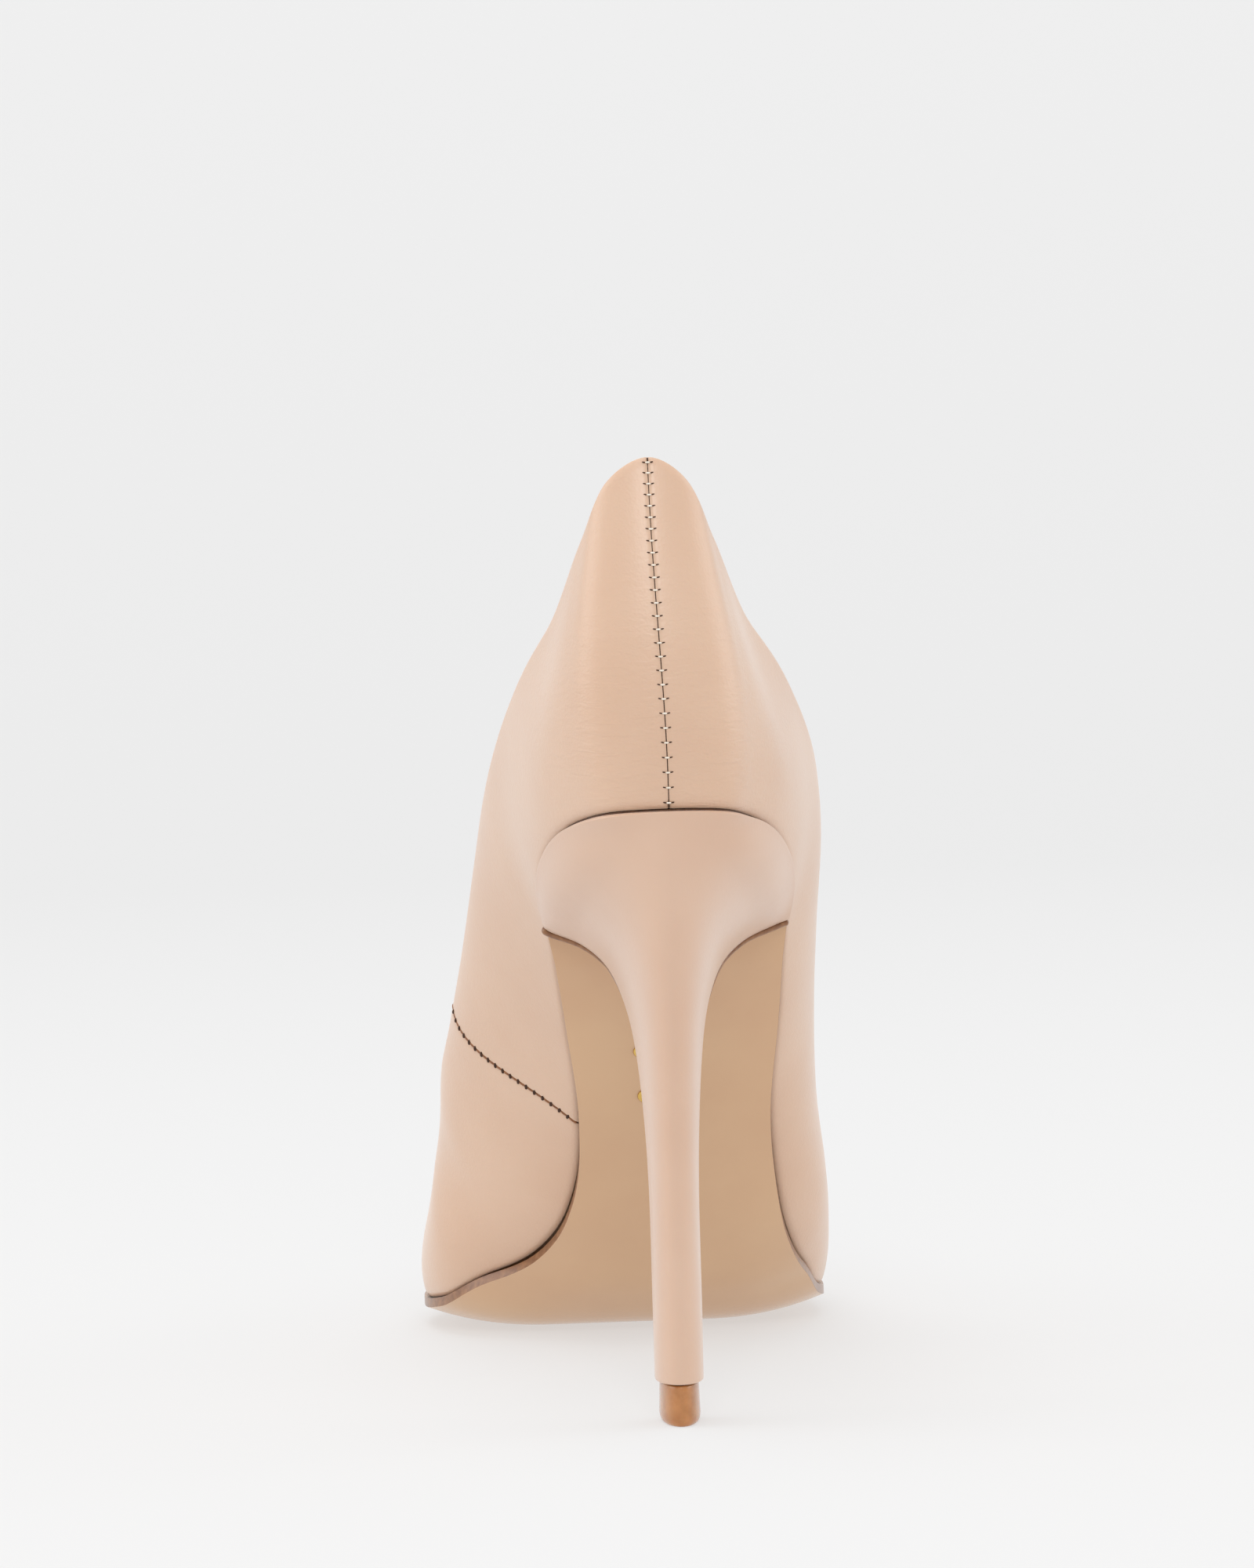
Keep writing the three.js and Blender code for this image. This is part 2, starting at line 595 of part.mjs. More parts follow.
// ---- The top piece ------------------------------------------------------------------------------
function topPiece() {
  const levels = [[0, 0.45], [0.35, 0.1], [1.4, -0.15], [topPieceHeight - 1, 0], [topPieceHeight, 0.05]];
  const rings = levels.map(([z, inset]) => {
    const points = [];
    for (let i = -7; i <= 7; i += 1) {
      const [x, y] = heelPoint(0, i / 7, inset);
      const pull = i === -7 || i === 7 ? inset : 0;
      points.push([x, y + flapThickness * 0.9 * seatShape(i / 7)[1] - pull, z]);
    }
    return points;
  });
  return loft(rings);
}

// ---- Steel in the heel --------------------------------------------------------------------------
const stemMiddle = (stemBack + stemDepth * 0.5) * alongScale;
const tubeLow = topPieceHeight + 0.8;
const tubeHigh = 74 * riseScale;
const dowelRadius = tubeRadius - tubeWall - 0.15;
function upright(outline, segments) {
  const geometry = new THREE.LatheGeometry(outline.map(([r, z]) => new THREE.Vector2(r, z)), segments);
  geometry.rotateX(Math.PI / 2);
  geometry.translate(stemCentreX, stemMiddle, 0);
  return weld(geometry);
}
const stemTube = () => upright([
  [tubeRadius - tubeWall, tubeLow], [tubeRadius, tubeLow], [tubeRadius, tubeHigh],
  [tubeRadius - tubeWall, tubeHigh], [tubeRadius - tubeWall, tubeLow],
], 16);
const dowel = () => upright([
  [0, 2.5], [dowelRadius, 2.5], [dowelRadius, 18.6], [dowelRadius * 0.6, 19.4], [0, 19.4],
], 12);
const boreRadius = tubeRadius + boreRoom;
const tubeBore = () => upright([
  [0, topPieceHeight - 1], [boreRadius, topPieceHeight - 1], [boreRadius, tubeHigh + 0.3], [0, tubeHigh + 0.3],
], 16);
const dowelHole = () => upright([
  [0, 2.3], [dowelRadius + 0.1, 2.3], [dowelRadius + 0.1, topPieceHeight + 1], [0, topPieceHeight + 1],
], 12);

// ---- Where the pieces of the upper begin and end ------------------------------------------------
const seamHalfGap = 0.013;
const sideSeam = (t) => 7.15 + 0.1 * t + 0.6 * t * t;
const liningSeam = 9.5;
const innerToe = toeRib - 1;    // puff and lining stop short of the pointed tip
const wing = (side, start, end, low, high, more = {}) => ({ side, start, end, low, high, ...more });

const piece = (name, colour, roughness, metalness, geometry) => {
  const material = new THREE.MeshStandardMaterial({ color: colour, roughness, metalness });
  const mesh = new THREE.Mesh(geometry, material);
  mesh.name = name;
  return mesh;
};

const nude = 0xd8b79b;
const group = new THREE.Group();
group.name = 'high_heel_pump';
const add = (...args) => group.add(piece(...args));

add('outsole', 0xc9a27f, 0.25, 0, cut(outsole(), [
  pin(-3, 71, 0.6, -5, 1, 8), pin(-2.2, 78, 0.6, -5, 1, 8),
]));
const heelHoles = [
  tubeBore(),
  pin(...screwPlace, screwRadius + holeRoom / 2, headLow - screwLength - 0.5, 2, 12),
  ...nailPlaces.map((place) => pin(...place, nailRadius + holeRoom / 2, headLow - nailLength - 0.5, 2, 8)),
];
add('heel_core', 0xe9e2d2, 0.5, 0, cut(heelCore(), heelHoles));
add('heel_cover', nude, 0.4, 0, heelCover());
add('top_piece', 0xc08850, 0.3, 0, cut(topPiece(), [dowelHole()]));
add('top_piece_dowel', 0xb8bcc0, 0.3, 1, dowel());
add('heel_tube', 0x9a9ea2, 0.35, 1, stemTube());
add('heel_screw', 0xb0a27a, 0.35, 1, headed(
  ...screwPlace, screwRadius, screwHead, headLow - screwLength, headLow, headTop, 12));
nailPlaces.forEach(([x, y], i) => add(`heel_nail_${i + 1}`, 0xa8abae, 0.4, 1, headed(
  x, y, nailRadius, nailHead, headLow - nailLength, nailHeadLow, headTop, 8)));

add('insole_board', 0xa88e6c, 0.9, 0, cut(
  slab(6.5, 207, boardInset, insoleLow, insoleHigh, insoleStep), insoleHoles()));
const rivets = [34, 112];
const rivetRadius = 1.5;
add('shank_board', 0x7a6248, 0.9, 0, cut(
  slab(6.5, shankBoardEnd, boardInset, fixed(boardLow), fixed(boardHigh)), [
    ...shankBoardHoles(),
    ...rivets.map((y) => pin(0.5, y, rivetRadius + 0.1, -4, 12, 8)),
  ]));
add('shank', 0x8d9196, 0.3, 1, cut(
  slab(28.5, 119, boardInset, fixed(flangeTop - shankThickness), fixed(flangeTop), [], shankWidth / 2),
  rivets.map((y) => pin(0.5, y, rivetRadius + 0.1, -4, 12, 8))));
rivets.forEach((y, i) => add(`shank_rivet_${i + 1}`, 0xa9a08a, 0.35, 1, pin(
  0.5, y, rivetRadius, 0, boardHigh, 8)));
add('bottom_filler', 0x6d5a43, 0.95, 0, slab(
  127, 192, 9, fixed(0), fixed(flangeTop)));

add('vamp', nude, 0.4, 0, layer([
  wing(lateral, seamHalfGap, toeRib, -1, 1),
  wing(medial, 7, toeRib, -1, 1, { from: (t) => sideSeam(t) + seamHalfGap }),
], 0, leatherThickness));
add('medial_quarter', nude, 0.4, 0, layer([
  wing(medial, seamHalfGap, 7, -1, 1, { to: (t) => sideSeam(t) - seamHalfGap }),
], 0, leatherThickness));
const innerDepth = leatherThickness + layerGap;
add('heel_counter', 0xcfc3a8, 0.8, 0, layer([
  wing(lateral, 0, 4.5, 0.07, 0.8), wing(medial, 0, 5, 0.07, 0.8),
], innerDepth, innerDepth + stiffenerThickness));
add('toe_puff', 0xd9d0bc, 0.8, 0, layer([
  wing(lateral, 15.5, innerToe - 0.25, 0.1, 1), wing(medial, 15.5, innerToe - 0.25, 0.1, 1),
], innerDepth, innerDepth + stiffenerThickness));
add('topline_tape', 0xe8e2d6, 0.8, 0, layer([
  wing(lateral, 0, 11.5, 0.875, 0.965), wing(medial, 0, 11.5, 0.875, 0.965),
], innerDepth + 0.12, innerDepth + stiffenerThickness, [0.875, 0.965]));
add('quarter_lining', 0xe6cdb4, 0.6, 0, layer([
  wing(lateral, 0, liningSeam - seamHalfGap, 0.07, 1), wing(medial, 0, liningSeam - seamHalfGap, 0.07, 1),
], liningDepth, liningInside));
add('vamp_lining', 0xe6cdb4, 0.6, 0, layer([
  wing(lateral, liningSeam + seamHalfGap, innerToe, 0.1, 1),
  wing(medial, liningSeam + seamHalfGap, innerToe, 0.1, 1),
], liningDepth, liningInside));

add('heel_pad', 0xf0e6c8, 0.9, 0, slab(
  ...heelPadSpan, 9, padLow, (y) => padLow(y) + heelPadThickness));
add('ball_pad', 0xf0e6c8, 0.9, 0, slab(
  ...ballPadSpan, 9, padLow, (y) => padLow(y) + ballPadThickness, insoleStep));
add('sock_lining', 0xe2c6ab, 0.55, 0, slab(
  6.5, 206, boardInset, sockLow, sockHigh, [...insoleStep, ...sockSteps]));

// Plain round studs pressed into the shank part of the sole, heads outward.
const studHead = (x, y) => turned(x, y, [
  [0, -layerGap - 0.3], [0.5, -layerGap - 0.3], [0.5, -layerGap - soleThickness - 0.15],
  [studRadius, -layerGap - soleThickness - 0.15], [studRadius * 0.8, -layerGap - soleThickness - 0.6],
  [0, -layerGap - soleThickness - 0.8],
].reverse(), 12);
add('sole_stud_rear', 0xd0a850, 0.2, 1, studHead(-3, 71));
add('sole_stud_front', 0xd0a850, 0.2, 1, studHead(-2.2, 78));

// Stand the shoe on z = 0 with the middle of its box over the origin.
group.updateMatrixWorld(true);
const box = new THREE.Box3().setFromObject(group, true);
group.position.set(-(box.min.x + box.max.x) / 2, -(box.min.y + box.max.y) / 2, -box.min.z);
group.updateMatrixWorld(true);

export default group;
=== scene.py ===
# %% [markdown]
# # A stiletto pump
# This lesson dresses a right-foot high heel pump. The frame that is loaded first is the shoe's
# engineering model: every piece has its true size and place. Each visible piece is then remade
# with finer meshes and finished with leather, lacquer, polyurethane and metal.

# %% Load the frame
import math

import bmesh
import bpy
import numpy as np
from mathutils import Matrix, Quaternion, Vector


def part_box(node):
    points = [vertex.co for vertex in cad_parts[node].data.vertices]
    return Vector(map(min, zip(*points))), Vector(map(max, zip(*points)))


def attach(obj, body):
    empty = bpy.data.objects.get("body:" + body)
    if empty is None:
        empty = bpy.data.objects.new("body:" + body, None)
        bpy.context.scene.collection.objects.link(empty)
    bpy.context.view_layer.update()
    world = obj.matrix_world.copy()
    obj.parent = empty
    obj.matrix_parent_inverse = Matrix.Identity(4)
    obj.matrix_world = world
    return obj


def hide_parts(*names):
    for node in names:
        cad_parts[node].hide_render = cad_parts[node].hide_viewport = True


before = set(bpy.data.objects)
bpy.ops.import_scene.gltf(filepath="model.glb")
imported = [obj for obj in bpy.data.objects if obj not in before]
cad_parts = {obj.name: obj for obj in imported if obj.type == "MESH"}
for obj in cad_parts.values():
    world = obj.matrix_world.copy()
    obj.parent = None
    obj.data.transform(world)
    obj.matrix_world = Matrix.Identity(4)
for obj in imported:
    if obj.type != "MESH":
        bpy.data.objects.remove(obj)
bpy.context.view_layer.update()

MM = 0.001

# %% [markdown]
# ## The shape of the last
# A pump is pulled over a wooden or plastic foot called a last, so its surface is one smooth
# bowl. It could be sculpted, but two thin leather pieces have to meet exactly at the seams, so
# the bowl is described by ribs instead: each rib leaves the sole edge, bulges outward and ends
# on the topline or on the ridge of the toe. Sizes are in millimetres, +Y from heel to toe, +X
# to the outer side of the foot and +Z up.

# %% Ribs of the upper
# Columns: y at the sole edge, x there inner and outer side, y at the top, x there inner and
# outer side, height above the sole line, how far the rib leaves (out, up), how far it arrives
# (out, down), width folded under the foot, and how much the arrival turns sideways.
RIBS = np.array([
    [2.5, 0, 0, 6.5, -1.7, -1.7, 59, 4, 20, 6, 24, 5.5, 0],
    [4.5, -9.5, 9.2, 7.5, -9, 5.2, 55, 3.8, 19, 4.5, 21, 4.6, 0],
    [12, -14.6, 14, 12, -13, 9.2, 47, 4, 17, 3, 17, 6.5, 0.3],
    [24, -19, 19.2, 25, -18, 15, 38, 4.5, 14, 2.2, 14, 7.5, 0.8],
    [38, -21, 22.3, 44, -24.2, 23.2, 37.8, 4.5, 13, 2, 13, 8, 1],
    [52, -18.9, 21.7, 60, -28.9, 28.6, 38.5, 6.5, 11, 1.5, 13, 8, 1],
    [66, -16.6, 21.2, 75, -31.6, 28.6, 40, 8, 10, 1.2, 13, 7.5, 1],
    [80, -14.5, 20.3, 89, -34, 28.8, 41.5, 9, 9, 1, 14, 7, 1],
    [93, -15.5, 22, 102, -36.4, 28.8, 43, 10, 10, 1.2, 15, 7, 1],
    [106, -22.6, 25.4, 115, -38.2, 28, 43.5, 11, 13, 3, 15, 8, 1],
    [119, -36, 29.3, 127, -34.6, 24.4, 44.4, 7.5, 15, 8, 13, 8, 1],
    [132, -41.8, 32, 138, -23.4, 17.6, 44.8, 5, 16, 12.5, 6, 8, 1],
    [145, -41.6, 31.6, 147, -12.2, 9.4, 44.6, 3.8, 15.5, 16, 1.6, 8, 1],
    [156, -37.4, 29.6, 152.2, -1, -1, 43.9, 2.6, 15, 17, 0, 8, 1],
    [168, -30.8, 25, 165, -1, -1, 37, 2.2, 12.5, 14, 0, 8, 1],
    [182, -21.8, 18.5, 178, -1, -1, 28, 1.8, 9.5, 10.5, 0, 6.5, 1],
    [196, -13.4, 11.6, 193, -0.9, -0.9, 19, 1.5, 7, 6.5, 0, 4.6, 1],
    [208, -6.8, 5.8, 205, -0.7, -0.7, 12, 1.2, 4.5, 3.4, 0.3, 3, 0.75],
    [216, -0.5, -0.5, 210.5, -0.6, -0.6, 8.8, 1, 3.4, 2.6, 0.5, 3, 0],
], dtype=float)
TOE = len(RIBS) - 1
THROAT = 13
INNER, OUTER = -1, 1
# Height of the sole edge along the shoe: y, z.
BOTTOM = [(0, 105), (15, 101.7), (30, 95.4), (47, 83.2), (65, 64.4), (85, 39.7), (100, 21.7),
          (112, 10), (124, 3.4), (135, 2), (165, 2), (190, 3.2), (217, 7)]
print("ribs listed", len(RIBS))

# %% [markdown]
# ### The sole line
# Seen from the side, the foot edge runs down from the heel seat, through the arch and along the
# tread. A plain spline through a few heights would dip below the tread before it rises to the
# toe, so this curve never passes the values it is given.

# %% Sole line
def smooth_steps(pairs, x):
    """Value at each x of a curve through the pairs that never overshoots them."""
    px, py = np.array(pairs, dtype=float).T
    width, rise = np.diff(px), np.diff(py) / np.diff(px)
    slope = np.zeros(len(px))
    both = rise[:-1] * rise[1:]
    safe = np.where(np.abs(rise[:-1] + rise[1:]) < 1e-12, 1, rise[:-1] + rise[1:])
    slope[1:-1] = np.where(both <= 0, 0, 2 * both / safe)
    slope[0], slope[-1] = rise[0], rise[-1]
    i = np.clip(np.searchsorted(px, x) - 1, 0, len(px) - 2)
    k = np.clip((x - px[i]) / width[i], 0, 1)
    return ((2 * k**3 - 3 * k**2 + 1) * py[i] + (k**3 - 2 * k**2 + k) * width[i] * slope[i]
            + (3 * k**2 - 2 * k**3) * py[i + 1] + (k**3 - k**2) * width[i] * slope[i + 1])


LINE_Y = np.arange(-10, 230, 0.1)
LINE_Z = smooth_steps(BOTTOM, LINE_Y)


def sole_line(y):
    return np.interp(y, LINE_Y, LINE_Z)


print("sole line falls from", LINE_Z.max().round(1), "to", LINE_Z.min().round(1), "mm")

# %% [markdown]
# ### Ribs all round the foot
# The ribs stand at a few places only. To get one at any place they are joined in a closed loop,
# out along the outer side and back along the inner one, and a spline runs through the loop. That
# way the two sides meet smoothly at the heel and at the toe.

# %% Ribs all round
LOOP = np.array([[r[2], r[0], r[5], r[3], *r[6:]] for r in RIBS]
                + [[r[1], r[0], r[4], r[3], *r[6:]] for r in RIBS[-2:0:-1]])


def rib_values(side, s):
    """The rib at the position s (0 heel, 18 toe) on one side, smooth between the listed ribs."""
    s = np.asarray(s, dtype=float)
    u = s if side == OUTER else 2 * TOE - s
    i = np.floor(u + 1e-9).astype(int)
    k = (u - i)[..., None]
    a, b, c, d = (LOOP[(i + n) % (2 * TOE)] for n in (-1, 0, 1, 2))
    rise, fall = (c - a) / 2, (d - b) / 2
    out = ((2 * k**3 - 3 * k**2 + 1) * b + (k**3 - 2 * k**2 + k) * rise
           + (3 * k**2 - 2 * k**3) * c + (k**3 - k**2) * fall)
    ridge = s > THROAT
    out[..., 2] = np.where(ridge, b[..., 2] + (c[..., 2] - b[..., 2]) * k[..., 0], out[..., 2])
    return out


def plan_normal(side, s):
    step = 0.02 * side
    a, b = rib_values(side, s - step), rib_values(side, s + step)
    run = b[..., :2] - a[..., :2]
    run /= np.linalg.norm(run, axis=-1, keepdims=True)
    return np.stack([run[..., 1], -run[..., 0]], axis=-1)


print("ribs in the loop", len(LOOP))

# %% [markdown]
# ### Curl of the tread
# The tread is flat in the middle and curls up at both sides of the ball, as a worn-in last does.
# It could be bent with a lattice, but a height added in one place keeps sole and upper together.

# %% Curl of the tread
CURL = 3.8
CURL_ALONG = [(0, 0), (96, 0), (116, 1), (162, 1), (190, 0.4), (206, 0), (230, 0)]
EDGES = [rib_values(side, np.linspace(0, TOE, 900))[:, :2] for side in (INNER, OUTER)]


def curl(x, y):
    """How far the bottom is curled up at a place in plan."""
    inner, outer = (np.interp(y, edge[:, 1], edge[:, 0]) for edge in EDGES)
    across = np.abs(x - (inner + outer) / 2) / np.maximum(1.0, (outer - inner) / 2)
    return CURL * smooth_steps(CURL_ALONG, y) * np.clip((across - 0.4) / 0.6, 0, 1.04)**2.2


def above_sole(x, y, height):
    """Points standing the given height above the sole line, square to it."""
    x, y = np.asarray(x, dtype=float), np.asarray(y, dtype=float)
    rise = sole_line(y + 0.5) - sole_line(y - 0.5)
    length = np.hypot(1, rise)
    lift = sole_line(y) + height / length + curl(x, y)
    return np.stack([x + 0 * y, y - rise / length * height, lift], axis=-1)


print("most curl", CURL, "mm")

# %% [markdown]
# ### Outer face of the leather
# Each rib is a cubic curve with four handles: the foot edge, a point where it leaves the foot, a
# point where it arrives, and the top. Below the foot edge the leather folds under the last.

# %% Outer face of the upper
def upper_point(side, s, t):
    """A point of the outer face: t is 0 at the sole edge, 1 at the top, negative under the foot."""
    s, t = np.broadcast_arrays(np.asarray(s, dtype=float), np.asarray(t, dtype=float))
    rib = rib_values(side, s)
    normal = plan_normal(side, s)
    fx, fy, tx, ty, th, out1, up1, out2, down2, margin, turn = np.moveaxis(rib, -1, 0)
    under = np.minimum(t, 0) * margin
    start = above_sole(fx + normal[..., 0] * under, fy + normal[..., 1] * under, 0)
    top_z = sole_line(ty) + th
    leave = np.stack([fx + normal[..., 0] * out1, fy + normal[..., 1] * out1, sole_line(fy) + up1], -1)
    side_x = normal[..., 0] * (1 - turn) + side * turn
    side_y = normal[..., 1] * (1 - turn)
    arrive = np.stack([tx + side_x * out2, ty + side_y * out2, top_z - down2], -1)
    top = np.stack([tx, ty, top_z], -1)
    k = np.clip(t, 0, 1)[..., None]
    above = ((1 - k)**3 * start + 3 * (1 - k)**2 * k * leave + 3 * (1 - k) * k**2 * arrive + k**3 * top)
    return np.where((t < 0)[..., None], start, above)


def upper_normal(side, s, t):
    h = 0.01
    along = upper_point(side, s + h, t) - upper_point(side, s - h, t)
    rise = upper_point(side, s, np.minimum(1, t + h)) - upper_point(side, s, np.maximum(0, t - h))
    normal = np.cross(along, rise) * side
    return normal / np.maximum(np.linalg.norm(normal, axis=-1, keepdims=True), 1e-9)


# The shape is drawn from the back of the counter; this shift stands it in the frame.
probe = upper_point(OUTER, np.linspace(0, 0.2, 5)[:, None], np.linspace(0, 1, 200)[None])
shift_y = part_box("vamp")[0][1] / MM - probe[..., 1].min()
shift_x = (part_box("top_piece")[0][0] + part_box("top_piece")[1][0]) / 2 / MM + 0.3
SHIFT = np.array([shift_x, shift_y, 0.0])
print("shift into the frame, mm", SHIFT.round(2))

# %% [markdown]
# ## Camera, light and floor
# A heel is best shown from behind with a long lens, a little above the seat.
# The camera stands about 0.93 m back. A white sweep and large soft lights keep shadows weak;
# small hard lamps would show every highlight as a dot, which satin leather never does.

# %% Camera
YAW, PITCH, ROLL = math.radians(2.2), math.radians(3.2), math.radians(1.7)
BACK_OFF, EYE_HEIGHT, ASIDE = 930.0, 161.0, 6.9
eye = SHIFT + [-ASIDE * math.cos(YAW) - BACK_OFF * math.sin(YAW),
               ASIDE * math.sin(YAW) - BACK_OFF * math.cos(YAW), EYE_HEIGHT]
look = Vector((math.sin(YAW) * math.cos(PITCH), math.cos(YAW) * math.cos(PITCH), -math.sin(PITCH)))
camera = bpy.data.objects.new("camera", bpy.data.cameras.new("camera"))
bpy.context.scene.collection.objects.link(camera)
camera.data.lens = 130.0
camera.data.sensor_width = 36.0
camera.data.clip_start = 0.05
camera.location = Vector(eye) * MM
camera.rotation_mode = "QUATERNION"
aim = look.to_track_quat("-Z", "Y")
camera.rotation_quaternion = aim @ Quaternion((0, 0, 1), -ROLL)
bpy.context.scene.camera = camera
print("camera at", [round(v, 3) for v in camera.location])

# %% [markdown]
# ### Colours and nodes
# Colours are written as sRGB hex values, as a colour picker shows them. Shaders work with linear
# light, so one function converts them. Another adds a node and links it, which keeps every
# material short to read.

# %% Colour and node helpers
def linear(hex_colour):
    """An sRGB hex colour as the linear RGBA that shaders use."""
    parts = [int(hex_colour[i:i + 2], 16) / 255 for i in (1, 3, 5)]
    return (*[c / 12.92 if c <= 0.04045 else ((c + 0.055) / 1.055) ** 2.4 for c in parts], 1.0)


def add_node(material, kind, links=None, **settings):
    """Adds a node, sets its properties or input sockets by name, and links inputs to outputs."""
    node = material.node_tree.nodes.new(kind)
    for name, value in settings.items():
        label = name.replace("_", " ").title()
        if hasattr(node, name):
            setattr(node, name, value)
        elif name in node.inputs:
            node.inputs[name].default_value = value
        else:
            node.inputs[label].default_value = value
    for socket, source in (links or {}).items():
        material.node_tree.links.new(source, node.inputs[socket])
    return node


def new_material(name, **sockets):
    """A Principled material with these values on its own sockets."""
    material = bpy.data.materials.new(name)
    material.use_nodes = True
    shader = material.node_tree.nodes["Principled BSDF"]
    for label, value in sockets.items():
        shader.inputs[label.replace("_", " ")].default_value = value
    return material, shader


print("mid grey in linear light", [round(c, 3) for c in linear("#808080")])

# %% [markdown]
# ### Floor and light
# The floor is a white paper sweep: flat under the shoe and curved up far behind it, so no edge
# shows. A plane alone would end at a visible horizon.

# %% Floor sweep
def sweep_profile():
    flat = [(-3.0, 0.0), (1.2, 0.0)]
    curve = [(1.2 + 0.8 * math.sin(a), 0.8 - 0.8 * math.cos(a)) for a in np.linspace(0.08, math.pi / 2, 16)]
    return flat + curve + [(2.0, 4.0)]


rows = sweep_profile()
sweep_mesh = bpy.data.meshes.new("paper_sweep")
sweep_mesh.from_pydata([(x, y, z) for y, z in rows for x in (-4.0, 4.0)], [],
                       [(2 * i, 2 * i + 1, 2 * i + 3, 2 * i + 2) for i in range(len(rows) - 1)])
sweep = bpy.data.objects.new("paper_sweep", sweep_mesh)
bpy.context.scene.collection.objects.link(sweep)
for polygon in sweep_mesh.polygons:
    polygon.use_smooth = True
# Matt white paper lit from behind as well, so that it stays even and shadows on it stay light.
paper, paper_shader = new_material("backlit_matte_paper", Roughness=1.0, Specular_IOR_Level=0.0,
                                   Emission_Strength=1.0)
paper_shader.inputs["Base Color"].default_value = (0.33, 0.33, 0.33, 1.0)
paper_place = add_node(paper, "ShaderNodeTexCoord").outputs["Object"]
paper_height = add_node(paper, "ShaderNodeSeparateXYZ", {"Vector": paper_place}).outputs["Z"]
backlight = add_node(paper, "ShaderNodeMapRange", {"Value": paper_height})
backlight.inputs["From Max"].default_value = 1.0
backlight.inputs["To Min"].default_value = 0.53
backlight.inputs["To Max"].default_value = 0.62
paper.node_tree.links.new(backlight.outputs["Result"], paper_shader.inputs["Emission Color"])
sweep_mesh.materials.append(paper)
print("sweep rows", len(rows))

# %% [markdown]
# ### Soft light
# Leather shows its shape by broad, soft highlights. Four large area lights and a white room give
# them; the one behind the camera draws the pale streak down the stem.

# %% Soft studio light
world = bpy.data.worlds.new("white_room")
bpy.context.scene.world = world
world.use_nodes = True
world.node_tree.nodes["Background"].inputs["Color"].default_value = (1.0, 1.0, 1.0, 1.0)
world.node_tree.nodes["Background"].inputs["Strength"].default_value = 0.62


def soft_light(name, place, size, power, target=(0.0, 0.0, 0.08)):
    """A square area light aimed at the shoe."""
    lamp = bpy.data.lights.new(name, "AREA")
    lamp.shape, lamp.size, lamp.energy = "SQUARE", size, power
    holder = bpy.data.objects.new(name, lamp)
    bpy.context.scene.collection.objects.link(holder)
    holder.location = place
    direction = Vector(target) - Vector(place)
    holder.rotation_mode = "QUATERNION"
    holder.rotation_quaternion = direction.to_track_quat("-Z", "Y")
    return holder


soft_light("overhead_softbox", (-0.2, -0.2, 1.7), 1.4, 9.0)
soft_light("key_softbox", (-0.05, -1.6, 0.95), 0.6, 7.0)
soft_light("left_softbox", (-1.5, 0.1, 0.6), 1.1, 5.5)
soft_light("right_softbox", (1.5, 0.1, 0.6), 1.1, 5.0)
bpy.context.scene.view_settings.view_transform = "Standard"

# %% [markdown]
# ## Leather, lacquer and the rest
# The upper is nappa: soft calf leather with a thin satin finish. Close up it has a fine pebble
# of 0.3 to 0.5 mm and faint creases where it was stretched round the heel. A picture of leather
# could be wrapped on, but layered noise keeps its scale on every part of the shoe.

# %% Nappa leather
# Sizes of the patterns. The pebble is at the coarse end of the real one, so that it shows.
PEBBLE_MM, FOLD_MM, DRIFT_MM = 0.45455, 1.1111, 26.3158
# Creases run from this far round the heel to nothing, and from low on the counter upwards.
CREASE_FULL, CREASE_NONE = 0.004, 0.034
CREASE_LOW, CREASE_HIGH = 0.118, 0.152


def per_metre(size_mm):
    """The scale that makes a noise cell this wide: one over its size in metres."""
    return round(1000.0 / size_mm, 1)


